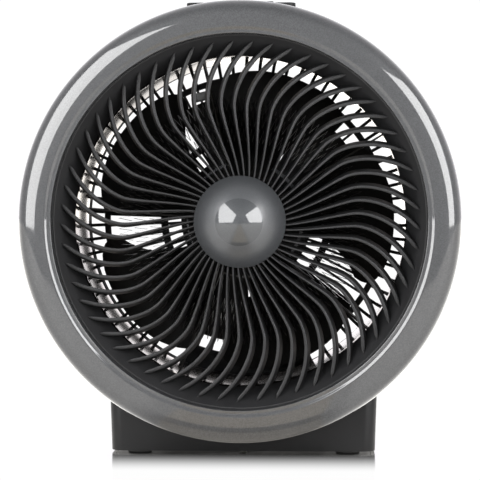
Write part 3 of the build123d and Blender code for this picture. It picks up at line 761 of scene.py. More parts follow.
# ------------------------------------------------------------------ finishes
class Shading(NodeGraph):
    """One material's nodes, whose patterns all read object coordinates."""

    def __init__(self, name: str) -> None:
        """Start a material with its shader and coordinates.

        Args:
            name: the material's name.
        """
        self.material = bpy.data.materials.new(name)
        self.material.use_nodes = True
        super().__init__(self.material.node_tree)
        self.shader = self.tree.nodes["Principled BSDF"]
        self.place = self.node("ShaderNodeTexCoord").outputs["Object"]

    def set(self, **values: float) -> None:
        """Set the shader's own sockets, with underscores for blanks."""
        for key, value in values.items():
            self.shader.inputs[key.replace("_", " ")].default_value = value

    def show(self, surface: bpy.types.NodeSocket) -> None:
        """Use another shader as the material's surface."""
        self.feed(self.tree.nodes["Material Output"].inputs["Surface"], surface)

    def noise(
        self, scale: float, detail: float = 2.0, stretch: tuple[float, float, float] = (1, 1, 1)
    ) -> bpy.types.NodeSocket:
        """Add a noise pattern.

        Args:
            scale: its frequency per metre.
            detail: its finer layers.
            stretch: factors on the three directions.

        Returns:
            The socket with its value.
        """
        mapping = self.node("ShaderNodeMapping", {"Vector": self.place, "Scale": stretch})
        inputs = {"Vector": mapping.outputs[0], "Scale": scale, "Detail": detail}
        return self.node("ShaderNodeTexNoise", inputs).outputs["Fac"]

    def cells(self, scale: float) -> bpy.types.NodeSocket:
        """Add a pattern of cells.

        Args:
            scale: its frequency per metre.

        Returns:
            The socket with each cell's own random value.
        """
        texture = self.node("ShaderNodeTexVoronoi", {"Vector": self.place, "Scale": scale})
        return self.node("ShaderNodeSeparateColor", {0: texture.outputs["Color"]}).outputs[0]

    def spread(self, pattern: bpy.types.NodeSocket, low: float = 0.0, high: float = 1.0) -> Field:
        """Map a pattern's middle range onto a range of values.

        Args:
            pattern: the pattern's socket.
            low: the smallest value.
            high: the largest.

        Returns:
            The mapped value.
        """
        return self.mapped(pattern, (0.3, 0.7), (low, high), "LINEAR")

    def tint(self, share: object, dark: Colour, light: Colour) -> None:
        """Blend the base colour between two colours by a pattern."""
        self.feed(self.shader.inputs["Base Color"], self.blend(share, dark, light))

    def rough(self, pattern: bpy.types.NodeSocket, low: float, high: float) -> None:
        """Vary the roughness by a pattern."""
        self.feed(self.shader.inputs["Roughness"], self.spread(pattern, low, high))

    def relief(self, *layers: tuple[bpy.types.NodeSocket, float]) -> None:
        """Stack bumps.

        Args:
            layers: pairs of a pattern and its height in millimetres.
        """
        below: dict[str, bpy.types.NodeSocket] = {}
        for pattern, height in layers:
            inputs = {"Strength": 1.0, "Distance": height * MM, "Height": pattern, **below}
            below = {"Normal": self.node("ShaderNodeBump", inputs).outputs["Normal"]}
        self.feed(self.shader.inputs["Normal"], below["Normal"])


@dataclass(frozen=True)
class Finish:
    """One finish of the appliance.

    Attributes:
        name: the material's name.
        slot: the material slot it belongs to; not used.
        colour: its main colour.
        shade: how much darker and lighter the colour gets.
        roughness: its smallest and largest roughness.
    """

    name: str
    slot: str
    colour: Colour
    shade: float
    roughness: tuple[float, float]

    def toned(self, factor: float) -> Colour:
        """Give the colour, made darker or lighter by a factor."""
        return tuple(min(1.0, c * factor) for c in self.colour)

    @property
    def tones(self) -> tuple[Colour, Colour]:
        """The darkest and the lightest tone of the colour."""
        return self.toned(1 - self.shade), self.toned(1 + self.shade)

    def paint(self, shading: Shading) -> None:
        """Build the finish's nodes."""
        raise NotImplementedError

    def material(self) -> bpy.types.Material:
        """Give the finish's material, which is made once.

        Returns:
            The material.
        """
        found = bpy.data.materials.get(self.name)
        if found:
            return found
        shading = Shading(self.name)
        self.paint(shading)
        return shading.material


@dataclass(frozen=True)
class MetallicCoat(Finish):
    """Grey plastic with metal flakes under a clear gloss coat.

    Attributes:
        flake: how fine the flakes are, per metre.
        coat_roughness: roughness of the clear coat.
    """

    flake: float = 1900.0
    coat_roughness: float = 0.04

    def paint(self, shading: Shading) -> None:
        """Build the flakes, the slight orange peel and the coat.

        Args:
            shading: the material to build.
        """
        flakes = shading.cells(self.flake)
        shading.tint(flakes, *self.tones)
        shading.rough(shading.noise(60, 3), *self.roughness)
        shading.relief((flakes, 0.012), (shading.noise(90, 1), 0.004))
        shading.set(
            Metallic=0.1,
            Coat_Weight=1.0,
            Coat_Roughness=self.coat_roughness,
            Coat_IOR=1.5,
            Specular_IOR_Level=0.15,
        )


@dataclass(frozen=True)
class MouldedPlastic(Finish):
    """Plastic from a finely spark-eroded mould.

    Attributes:
        grain: how fine the mould's grain is, per metre.
        depth: its depth in millimetres.
        shine: how strongly it reflects.
    """

    grain: float = 2600.0
    depth: float = 0.02
    shine: float = 0.5

    def paint(self, shading: Shading) -> None:
        """Build the mould's grain, the flow marks and the handling marks.

        Args:
            shading: the material to build.
        """
        grain = shading.noise(self.grain, 2)
        flow = shading.noise(22, 3)
        shading.tint(shading.spread(flow), *self.tones)
        shading.rough(shading.noise(140, 4), *self.roughness)
        shading.relief((grain, self.depth), (shading.noise(35, 1), 0.01))
        shading.set(Specular_IOR_Level=self.shine)


@dataclass(frozen=True)
class RolledMetal(Finish):
    """Bright sheet with rolling marks that run across the head's axis.

    Attributes:
        marks: how fine the marks are, per metre.
    """

    marks: float = 260.0

    def paint(self, shading: Shading) -> None:
        """Build the rolling marks and the faint waves of the sheet.

        Args:
            shading: the material to build.
        """
        lines = shading.noise(self.marks, 3, (0.15, 9.0, 0.15))
        shading.tint(shading.spread(lines), *self.tones)
        shading.rough(lines, *self.roughness)
        shading.relief((lines, 0.0006), (shading.noise(28, 1), 0.003))
        shading.set(Metallic=1.0)


@dataclass(frozen=True)
class TurnedSteel(Finish):
    """Plated steel with fine marks and a few dull patches."""

    def paint(self, shading: Shading) -> None:
        """Build the marks and the patches.

        Args:
            shading: the material to build.
        """
        patches = shading.noise(160, 4)
        shading.tint(shading.spread(patches), *self.tones)
        shading.rough(patches, *self.roughness)
        shading.relief((shading.noise(1500, 2, (1, 4, 1)), 0.006))
        shading.set(Metallic=0.95)


@dataclass(frozen=True)
class PressedMica(Finish):
    """Brown mineral sheet pressed from flakes."""

    def paint(self, shading: Shading) -> None:
        """Build the flakes and their dull shine.

        Args:
            shading: the material to build.
        """
        flakes = shading.cells(420)
        shading.tint(flakes, *self.tones)
        shading.rough(flakes, *self.roughness)
        shading.relief((flakes, 0.03))
        shading.set(Specular_IOR_Level=0.12)


@dataclass(frozen=True)
class HeatedAlloy(Finish):
    """Resistance ribbon, nearly black, with a patchy tone."""

    def paint(self, shading: Shading) -> None:
        """Build the patchy tone and the oxide.

        Args:
            shading: the material to build.
        """
        heat = shading.noise(45, 2)
        shading.tint(shading.spread(heat), *self.tones)
        shading.rough(shading.noise(900, 2), *self.roughness)
        shading.relief((shading.noise(1800, 1), 0.005))
        shading.set(Metallic=0.85)


@dataclass(frozen=True)
class TintedLens(Finish):
    """Translucent moulded lens."""

    def paint(self, shading: Shading) -> None:
        """Build the tint, the moulded ripples and the clearness.

        Args:
            shading: the material to build.
        """
        ripple = shading.noise(700, 1)
        shading.tint(ripple, *self.tones)
        shading.rough(ripple, *self.roughness)
        shading.relief((ripple, 0.02))
        shading.set(Transmission_Weight=0.5, IOR=1.49)


class Finishes(Enum):
    """The finishes of the appliance's surfaces."""

    BEZEL_GREY = MetallicCoat("bezel_grey", "grey_metallic", (0.0515, 0.0525, 0.0542), 0.2, (0.38, 0.46))
    DOME_GREY = MetallicCoat("dome_grey", "grey_metallic", (0.048, 0.051, 0.054), 0.12, (0.38, 0.46), 2300.0)
    # a lighter copy of the dome's grey with a satin coat: the satin is real, the lighter grey is painted
    # light on the dome's edge
    DOME_SATIN_LIT = MetallicCoat(
        "dome_satin_painted_light", "grey_metallic", (0.057, 0.06, 0.0635), 0.12, (0.4, 0.5), 2300.0, 0.34
    )
    GRILLE_BLACK = MouldedPlastic(
        "grille_black", "black_plastic", (0.0165, 0.0165, 0.0172), 0.12, (0.44, 0.56), 2600.0, 0.02, 0.2
    )
    CASE_BLACK = MouldedPlastic(
        "case_black", "black_plastic", (0.0105, 0.0105, 0.011), 0.12, (0.4, 0.52), 1900.0, 0.03, 0.18
    )
    BLADE_BLACK = MouldedPlastic(
        "blade_black", "impeller_black", (0.002, 0.0019, 0.0017), 0.15, (0.55, 0.65), 2000.0, 0.012, 0.06
    )
    KNOB_BLACK = MouldedPlastic(
        "knob_black", "black_gloss", (0.018, 0.018, 0.019), 0.1, (0.2, 0.28), 3200.0, 0.006
    )
    BRIGHT_SHEET = RolledMetal(
        "bright_sheet", "polished_aluminium", (0.52, 0.465, 0.42), 0.04, (0.075, 0.095)
    )
    ZINC = TurnedSteel("zinc_plate", "zinc_steel", (0.5, 0.5, 0.5), 0.15, (0.25, 0.4))
    MOTOR_BLACK = MouldedPlastic(
        "motor_black", "black_steel", (0.003, 0.003, 0.003), 0.2, (0.5, 0.62), 1500.0, 0.02, 0.12
    )
    BLACK_SCREW = TurnedSteel("black_screw", "black_steel", (0.03, 0.03, 0.032), 0.2, (0.3, 0.45))
    LAMINATION = TurnedSteel("lamination", "lamination_steel", (0.14, 0.14, 0.15), 0.2, (0.4, 0.6))
    COPPER = TurnedSteel("copper_wire", "copper_wire", (0.5, 0.21, 0.09), 0.2, (0.3, 0.45))
    MICA = PressedMica("mica_brown", "mica", (0.006, 0.005, 0.004), 0.35, (0.5, 0.65))
    RIBBON = HeatedAlloy("heating_ribbon", "heating_alloy", (0.014, 0.013, 0.012), 0.3, (0.3, 0.5))
    SWITCH_GREY = MouldedPlastic("switch_grey", "switch_plastic", (0.05, 0.05, 0.05), 0.1, (0.4, 0.5))
    NYLON = MouldedPlastic("natural_nylon", "nylon", (0.55, 0.55, 0.5), 0.06, (0.4, 0.5))
    RUBBER = MouldedPlastic(
        "black_rubber", "black_rubber", (0.015, 0.015, 0.015), 0.2, (0.6, 0.75), 1200.0, 0.05
    )
    PRINT_WHITE = MouldedPlastic("print_white", "nylon", (0.6, 0.6, 0.6), 0.04, (0.45, 0.55))
    AMBER = TintedLens("amber_lens", "amber_lens", (0.8, 0.25, 0.03), 0.1, (0.1, 0.2))

    def material(self) -> bpy.types.Material:
        """Give the finish's material."""
        return self.value.material()


def dress(
    piece: bpy.types.Object, finish: Finishes, body: Body, stands_for: Sequence[str] = ()
) -> bpy.types.Object:
    """Give a finished piece its material, its body and the nodes it stands for.

    Args:
        piece: the finished object.
        finish: its finish.
        body: the body it moves with.
        stands_for: frame nodes that it replaces.

    Returns:
        The same object.
    """
    piece.data.materials.clear()
    piece.data.materials.append(finish.material())
    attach(piece, body.value)
    if stands_for:
        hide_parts(*stands_for)
    LOG.info("%s: %d faces", piece.name, len(piece.data.polygons))
    return piece


def repaint(nodes: dict[str, bpy.types.Object], names: Sequence[str], finish: Finishes) -> None:
    """Give frame nodes a better material and leave their shape alone.

    Args:
        nodes: the frame's nodes by name.
        names: which of them.
        finish: their finish.
    """
    for name in names:
        for slot in nodes[name].material_slots:
            slot.material = finish.material()


# ------------------------------------------------------------------ the head's front
@dataclass
class FrontRing:
    """The deep ring round the grille.

    Attributes:
        outer: its largest radius.
        crest: radius of its foremost line.
        opening: radius of its opening.
        outer_fullness: roundness of its flank, where two would be an ellipse.
        outer_spans: spans along the flank.
        widest_depth: depth at which it is widest.
        dip_middle: how far inside the crest it falls most steeply.
        dip_spread: half the width over which it falls.
        dip_slope: how steep the fall gets.
        dip_spans: spans across it.
        rim_room: radial room that is left for the rim's edge.
        rim_edge: points of that edge, outwards from the opening and deeper than the rim.
        lip_room: depth at which the lip's hidden side starts.
        lip_depth: depth of the lip's back edge.
        lip_bevel: bevel of that edge.
        depth: depth of the ring's back edge.
        back: radius of the back edge.
        back_draw: how much wider the wall is where the back edge's bevel starts.
        back_bevel: bevel of the back edge on the outside.
        wall: thickness of the wall.
        wall_bevel: bevel of the back edge on the inside.
        wall_spans: spans along the flank's hidden side.
        notch_width: width of the release notch under the ring.
        notch_height: how far it cuts into the ring.
        notch_depth: depth at which it starts.
    """

    outer: float = 140.0
    crest: float = 124.0
    opening: float = 118.4
    outer_fullness: float = 4.0
    outer_spans: int = 32
    widest_depth: float = 20.0
    dip_middle: float = 2.5
    dip_spread: float = 0.85
    dip_slope: float = 0.47
    dip_spans: int = 28
    rim_room: float = 0.2
    rim_edge: tuple[Span, ...] = ((0.05, 0.1), (0.0, 0.3))
    lip_room: float = 3.2
    lip_depth: float = 12.0
    lip_bevel: float = 0.3
    depth: float = 36.0
    back: float = 138.2
    back_draw: float = 0.06
    back_bevel: float = 0.5
    wall: float = 2.4
    wall_bevel: float = 0.2
    wall_spans: int = 10
    notch_width: float = 14.6
    notch_height: float = 0.9
    notch_depth: float = 10.0

    def dip(self) -> Profile:
        """Give the points from the crest down to the narrow rim round the grille.

        Returns:
            The points, from the crest inwards.
        """
        points: Profile = []
        reach = self.crest - self.opening - self.rim_room
        fall = self.dip_slope * self.dip_spread * math.sqrt(math.pi) / 2
        for step in range(self.dip_spans + 1):
            inward = reach * step / self.dip_spans
            share = (inward - self.dip_middle) / self.dip_spread
            points.append((self.crest - inward, fall * (1 + math.erf(share))))
        last = points[-1][1]
        points[0] = (self.crest, 0.0)
        return points + [(self.opening + out, last + deeper) for out, deeper in self.rim_edge]

    def build(self) -> None:
        """Turn the ring, cut its release notch and dress it."""
        top = (self.crest, 0.0)
        inside = self.opening + self.wall
        edge = self.lip_depth - self.lip_bevel
        profile: Profile = [(inside, self.lip_room), (inside, edge)]
        profile += [(inside - self.lip_bevel, self.lip_depth)]
        profile += [(self.opening + self.lip_bevel, self.lip_depth), (self.opening, edge)]
        profile += self.dip()[::-1]
        side = (self.outer - self.crest, self.widest_depth)
        profile += flank(top, side, self.outer_fullness, self.outer_spans)[1:]
        profile += [(self.back + self.back_draw, self.depth - self.back_bevel)]
        profile += [(self.back - self.back_bevel, self.depth)]
        back_wall = self.back - self.wall
        profile += [(back_wall + self.wall_bevel, self.depth), (back_wall, self.depth - self.wall_bevel)]
        under = (self.crest, self.wall)
        room = (side[0] - self.wall, side[1] - self.wall)
        profile += flank(under, room, self.outer_fullness, self.wall_spans)[::-1]
        ring = lathe("front_bezel", profile, 288)
        bottom = HEAD.axis_height - self.outer
        half = self.notch_width / 2
        low = Vector((-half, HEAD.front_y + self.notch_depth, bottom - 3)) * MM
        high = Vector((half, HEAD.front_y + self.depth + 2, bottom + self.notch_height)) * MM
        cut_away(ring, box_piece("notch", low, high))
        dress(ring, Finishes.BEZEL_GREY, Body.HEAD, ["front_ring"])


@dataclass
class FrontGrille:
    """The dished flange, the hub and the ring of swept fins between them.

    Attributes:
        fins: how many fins.
        front_depth: depth of their front edges.
        chord: from their front edge to their back edge.
        lean: degrees that the back edge is turned anticlockwise.
        root: radius at which they start.
        tip: radius at which the front edge ends.
        back_tip: radius at which the back edge ends.
        peak: radius at which the S turns back.
        peak_angle: degrees at which the first fin's turn lies.
        inner_sweep: degrees from the root to the turn.
        outer_sweep: degrees from the turn back to the tip.
        inner_power: how the inner sweep grows.
        outer_power: how the outer sweep grows.
        root_width: width of a fin at the root.
        tip_width: its width at the tip.
        point_share: share of that width that is left at the very end.
        point_length: length over which it narrows.
        chisel: how much shorter one side of a fin is than the other.
        nose: depth of the rounded front edge.
        nose_share: share of the width that is left at its front.
    """

    fins: int = 57
    front_depth: float = 19.0
    chord: float = 10.0
    lean: float = 1.2
    root: float = 27.6
    tip: float = 115.3
    back_tip: float = 109.2
    peak: float = 73.7
    peak_angle: float = 10.52
    inner_sweep: float = 8.66
    outer_sweep: float = 13.7
    inner_power: float = 1.7
    outer_power: float = 1.55
    root_width: float = 1.15
    tip_width: float = 3.7
    point_share: float = 0.6
    point_length: float = 1.2
    chisel: float = 2.4
    nose: float = 0.7
    nose_share: float = 0.42

    def flange(self) -> bpy.types.Object:
        """Turn the dish that the fins end on."""
        profile = rounded(
            [
                (117.9, 14.5, 0.4),
                (106.2, 32.0, 0.3),
                (108.8, 32.0, 0.3),
                (118.4, 17.7, 0.5),
                (134.2, 17.7, 0.4),
                (134.2, 15.5, 0.4),
                (118.9, 15.5, 0.3),
                (118.9, 14.5, 0.3),
            ]
        )
        return lathe("flange", profile, 288)

    def hub(self) -> bpy.types.Object:
        """Turn the cup in the middle."""
        profile = rounded(
            [
                (4.05, 19.0, 0.2),
                (28.6, 19.0, 0.9),
                (28.6, 29.0, 0.4),
                (26.6, 29.0, 0.4),
                (26.6, 21.0, 0.6),
                (4.05, 21.0, 0.2),
            ]
        )
        return lathe("hub", profile, 128)

    def build(self) -> None:
        """Sweep the fins by their rule, repeat them and dress the grille."""
        carrier = join_pieces("front_fins", [self.flange(), self.hub()])
        graph = GeometryGraph("swept fins")
        count = graph.named("Fins", self.fins)
        root = graph.named("Root radius", self.root * MM)
        tip = graph.named("Tip radius", self.tip * MM)
        back_tip = graph.named("Tip radius at the back", self.back_tip * MM)
        peak = graph.named("Radius of the turn", self.peak * MM)
        peak_angle = graph.named("Angle of the turn", math.radians(self.peak_angle))
        inner = graph.named("Sweep inside the turn", math.radians(self.inner_sweep))
        outer = graph.named("Sweep outside the turn", math.radians(self.outer_sweep))
        chord = graph.named("Chord", self.chord * MM)
        lean = graph.named("Lean", math.radians(self.lean))
        root_width = graph.named("Root width", self.root_width * MM)
        tip_width = graph.named("Tip width", self.tip_width * MM)
        point_length = graph.named("Point length", self.point_length * MM)
        nose = graph.named("Nose", self.nose * MM)
        chisel = graph.named("Chisel", self.chisel * MM)

        def fin(along: Field, across: Field, back: Field) -> tuple[Field, Field, Field]:
            """Place one point of a fin.

            Args:
                along: share of the way outwards.
                across: from -1 at one side to 1 at the other.
                back: share of the way to the back.

            Returns:
                Its x, y and z.
            """
            back = back * back
            end = tip - (tip - back_tip) * back - chisel * (1.0 - across) * 0.5
            radius = root + (end - root) * along
            inside = ((peak - radius) / (peak - root)).most(0.0)
            outside = ((radius - peak) / (tip - peak)).most(0.0)
            angle = peak_angle - inner * inside**self.inner_power - outer * outside**self.outer_power
            share = (radius - root) / (tip - root)
            width = root_width + (tip_width - root_width) * share * share
            point = ((end - radius) / point_length).least(1.0)
            width = width * (self.point_share + (1 - self.point_share) * point)
            bluntness = 1.0 - (back * chord / nose).least(1.0)
            rest = (1.0 - bluntness * bluntness) ** 0.5
            width = width * (self.nose_share + (1 - self.nose_share) * rest)
            angle = angle + lean * back + across * width / radius * 0.5
            depth = chord * back + HEAD.y(self.front_depth)
            return radius * angle.cosine(), depth, radius * angle.sine()

        shape = graph.bent_box((40, 3, 8), fin)
        fins = graph.ring_of(shape, count, HEAD.centre)
        graph.settle_on(carrier, [graph.given, fins], Finishes.GRILLE_BLACK)
        dress(carrier, Finishes.GRILLE_BLACK, Body.HEAD, ["front_grille"])


@dataclass
class CentreDome:
    """The round cap in the middle of the grille.

    Attributes:
        radius: radius of its edge.
        rise: how far its middle stands before its edge.
        back_depth: depth of its edge.
        edge: radial and depth reach of the straight strip before the edge.
        edge_round: rounding of the edge.
        polished: radius of the polished middle.
        post: radius of the post behind it.
        post_back: depth of the post's end.
        post_bevel: bevel of that end.
        spans: spans from the middle to the edge.
    """

    radius: float = 29.4
    rise: float = 18.4
    back_depth: float = 18.7
    edge: Span = (0.3, 0.6)
    edge_round: float = 0.35
    polished: float = 14.6
    post: float = 4.0
    post_back: float = 24.6
    post_bevel: float = 0.6
    spans: int = 40

    def build(self) -> None:
        """Turn the cap with its post and dress it: polished middle, and a satin edge in a lighter grey that
        is painted light on the dome's edge.
        """
        ball = (self.radius**2 + self.rise**2) / (2 * self.rise)
        top = self.back_depth - self.rise
        reach = math.asin(self.radius / ball)
        arc = [reach * i / self.spans for i in range(self.spans)]
        profile: Profile = [(ball * math.sin(a), top + ball * (1 - math.cos(a))) for a in arc]
        strip = (self.radius - self.edge[0], self.back_depth - self.edge[1], 0)
        edge = (self.radius, self.back_depth, self.edge_round)
        profile += rounded([strip, edge, (self.post, self.back_depth, 0)])
        profile += [(self.post, self.post_back - self.post_bevel)]
        profile += [(self.post - self.post_bevel, self.post_back), (0.0, self.post_back)]
        cap = dress(lathe("dome_cap", profile, 160), Finishes.DOME_GREY, Body.HEAD, ["centre_dome"])
        # the edge takes the lighter satin grey, painted light on the dome's edge
        cap.data.materials.append(Finishes.DOME_SATIN_LIT.material())
        for face in cap.data.polygons:
            out = math.hypot(face.center.x, face.center.z - HEAD.axis_height * MM)
            face.material_index = int(out > self.polished * MM)


@dataclass
class HeatShield:
    """The bright sheet sleeve that keeps the heat off the drum.

    Attributes:
        radius: its inner radius at the front.
        taper: how much narrower its back is.
        hem: the last stretch, which no longer narrows.
        wall: its thickness.
        front: depth of its lip.
        length: from front to back.
        lip: radius to which the lip reaches.
        bead: how far inwards and how far behind the lip each point of the rolled bead lies.
    """

    radius: float = 106.4
    taper: float = 0.9
    hem: float = 0.4
    wall: float = 0.8
    front: float = 32.3
    length: float = 67.0
    lip: float = 112.0
    bead: tuple[Span, ...] = ((0.5, 5.0), (0.5, 6.5), (0.0, 8.0), (0.0, 8.4))

    def build(self) -> None:
        """Turn the sleeve with the rolled bead near its front."""
        back = self.front + self.length
        outside = self.radius + self.wall
        profile: Profile = [(self.radius, self.front)]
        profile += [(self.radius - rise, self.front + depth) for rise, depth in self.bead]
        profile += [(self.radius - self.taper, back - self.hem), (self.radius - self.taper, back)]
        profile += [(outside - self.taper, back), (outside, self.front + self.wall)]
        profile += [(self.lip, self.front + self.wall), (self.lip, self.front)]
        dress(lathe("shield_sleeve", profile, 256), Finishes.BRIGHT_SHEET, Body.HEAD, ["heat_shield"])


# ------------------------------------------------------------------ inside the head
@dataclass
class Heater:
    """The corrugated ribbons on their mica boards, and the cut-out.

    Attributes:
        middle_depth: depth of the ribbons' middle.
        radii: middle radius of each ribbon.
        waves: folds of each ribbon.
        swing: how far a fold reaches each way.
        strip: thickness of the strip.
        depth: its width from front to back.
        boards: how many mica boards carry them.
    """

    middle_depth: float = 51.0
    radii: tuple[float, ...] = (56.0, 66.0, 76.0)
    waves: int = 144
    swing: float = 4.2
    strip: float = 0.32
    depth: float = 7.6
    boards: int = 5

    def ribbon(self, number: int, radius: float) -> None:
        """Fold one ribbon round its ring.

        Args:
            number: which ribbon, from one.
            radius: the ring's middle radius.
        """
        piece = make_object(f"ribbon_coil_{number}")
        graph = GeometryGraph(f"folded ribbon {number}")
        waves = graph.named("Waves", self.waves)
        ring = graph.named("Ring radius", radius * MM)
        swing = graph.named("Swing", self.swing * MM)
        strip = graph.named("Strip thickness", self.strip * MM)
        width = graph.named("Strip width", self.depth * MM)
        circle = graph.node("GeometryNodeMeshCircle", {"Vertices": waves * 2.0, "Radius": ring})
        side = graph.index().remainder(2.0) * 2.0 - 1.0
        here = graph.node("GeometryNodeInputPosition").outputs[0]
        factor = side * swing / ring + 1.0
        scaled = graph.node("ShaderNodeVectorMath", {"Vector": here, "Scale": factor}, operation="SCALE")
        folded = graph.node(
            "GeometryNodeSetPosition", {"Geometry": circle.outputs["Mesh"], "Position": scaled.outputs[0]}
        )
        line = graph.node("GeometryNodeMeshToCurve", {"Mesh": folded.outputs[0]})
        upright = graph.node("GeometryNodeSetCurveNormal", {"Curve": line.outputs[0]}, mode="Z_UP")
        outline = graph.node("GeometryNodeCurvePrimitiveQuadrilateral", {"Width": strip, "Height": width})
        sheet = graph.node(
            "GeometryNodeCurveToMesh", {"Curve": upright.outputs[0], "Profile Curve": outline.outputs[0]}
        )
        placed = graph.node(
            "GeometryNodeTransform",
            {
                "Geometry": sheet.outputs[0],
                "Translation": HEAD.point(0, 0, self.middle_depth),
                "Rotation": (math.pi / 2, 0, 0),
            },
        )
        graph.settle_on(piece, [placed.outputs[0]], Finishes.RIBBON)
        dress(piece, Finishes.RIBBON, Body.HEAD, [f"heating_ribbon_{number}"])

    def build(self, nodes: dict[str, bpy.types.Object]) -> None:
        """Fold the ribbons and dress the boards, the hub and the cut-out.

        Args:
            nodes: the frame's nodes by name.
        """
        for number, radius in enumerate(self.radii, 1):
            self.ribbon(number, radius)
        for number in range(1, self.boards + 1):
            board = refined_copy(nodes, f"mica_board_{number}", f"board_{number}", 0.15, 1)
            dress(board, Finishes.MICA, Body.HEAD, [f"mica_board_{number}"])
        repaint(nodes, ["heater_hub"], Finishes.MICA)
        cutout = refined_copy(nodes, "thermal_cutout", "cutout_body", 0.6)
        dress(cutout, Finishes.SWITCH_GREY, Body.HEAD, ["thermal_cutout"])


@dataclass
class Impeller:
    """Five cambered blades on a hub.

    Attributes:
        blades: how many blades.
        first_angle: degrees at which the first one's own line lies.
        middle_depth: depth of the wheel's middle.
        root: radius at which the blades start, inside the hub.
        tip: radius at which they end.
        leading: degrees from a blade's line to its leading edge, at the root.
        rake: how many degrees further that edge lies at the tip.
        trailing: degrees from the line to the trailing edge.
        pitch: how far forward a blade climbs over half its chord.
        half_chord: half its width, over which the pitch and the camber are given.
        camber: how far it bulges.
        thickness: its thickness.
        corner_fall: share of the tip radius by which its outer corners fall short.
        corner_skew: how much more that is on the leading side.
        thin_sides: share of the thickness that its edges lose.
        thin_tip: share that its tip loses.
    """

    blades: int = 5
    first_angle: float = 6.0
    middle_depth: float = 80.0
    root: float = 17.5
    tip: float = 100.4
    leading: float = 16.0
    rake: float = 31.2
    trailing: float = 28.0
    pitch: float = 12.0
    half_chord: float = 48.0
    camber: float = 3.0
    thickness: float = 2.0
    corner_fall: float = 0.135
    corner_skew: float = 0.035
    thin_sides: float = 0.7
    thin_tip: float = 0.6

    def hub(self) -> bpy.types.Object:
        """Turn the hub's cup and its boss."""
        profile = rounded(
            [
                (3.05, 68.0, 0),
                (18.2, 68.0, 2.0),
                (21.0, 71.5, 1.6),
                (21.0, 92.0, 0.5),
                (18.5, 92.0, 0.5),
                (18.5, 73.0, 0.8),
                (7.5, 73.0, 0.6),
                (7.5, 92.0, 0.5),
                (3.05, 92.0, 0),
            ]
        )
        return lathe("impeller_hub", profile, 96)

    def build(self) -> None:
        """Shape one blade by its rule, repeat it round the hub and dress it."""
        piece = self.hub()
        piece.name = "impeller_wheel"
        graph = GeometryGraph("fan blades")
        count = graph.named("Blades", self.blades)
        root = graph.named("Root radius", self.root * MM)
        tip = graph.named("Tip radius", self.tip * MM)
        pitch = graph.named("Pitch", self.pitch * MM)
        chord = graph.named("Half chord", self.half_chord * MM)
        camber = graph.named("Camber", self.camber * MM)
        thick = graph.named("Thickness", self.thickness * MM)
        front = graph.named("Leading edge at the root", math.radians(self.leading))
        rake = graph.named("Rake of the leading edge", math.radians(self.rake))
        trailing = graph.named("Trailing edge", math.radians(self.trailing))

        def blade(along: Field, across: Field, back: Field) -> tuple[Field, Field, Field]:
            """Place one point of a blade.

            Args:
                along: share of the way outwards.
                across: from -1 at one side to 1 at the other.
                back: share of the way through its thickness.

            Returns:
                Its x, y and z.
            """
            turn = across.size()
            # the tip line falls away to rounded corners, more so on the leading side
            fall = turn**3.2 * (self.corner_fall - across * self.corner_skew) * tip
            end = tip - fall
            radius = root + (end - root) * along
            share = (radius - root) / (tip - root)
            leading = 0.0 - front - rake * share**2.5
            middle = (leading + trailing) * 0.5
            angle = middle + (trailing - leading) * 0.5 * across
            x = radius * angle.cosine()
            z = radius * angle.sine()
            bow = z / chord
            forward = pitch * bow - camber * (1.0 - bow * bow)
            edge = (1.0 - turn**6.0 * self.thin_sides) * (1.0 - along**10.0 * self.thin_tip)
            depth = (back - 0.5) * thick * edge - forward + HEAD.y(self.middle_depth)
            return x, depth, z

        shape = graph.bent_box((26, 22, 3), blade)
        wheel = graph.ring_of(shape, count, HEAD.centre, math.radians(self.first_angle))
        graph.settle_on(piece, [graph.given, wheel], Finishes.BLADE_BLACK)
        dress(piece, Finishes.BLADE_BLACK, Body.FAN, ["impeller"])


# ------------------------------------------------------------------ the head's back and top
@dataclass(frozen=True)
class RibRow:
    """One row of straight ribs.

    Attributes:
        inner: where its ribs start.
        outer: where they end.
        count: how many.
        width: width of a rib.
        closed: half angle that is left out at the bottom, in degrees.
    """

    inner: float
    outer: float
    count: int
    width: float
    closed: float = 0.0


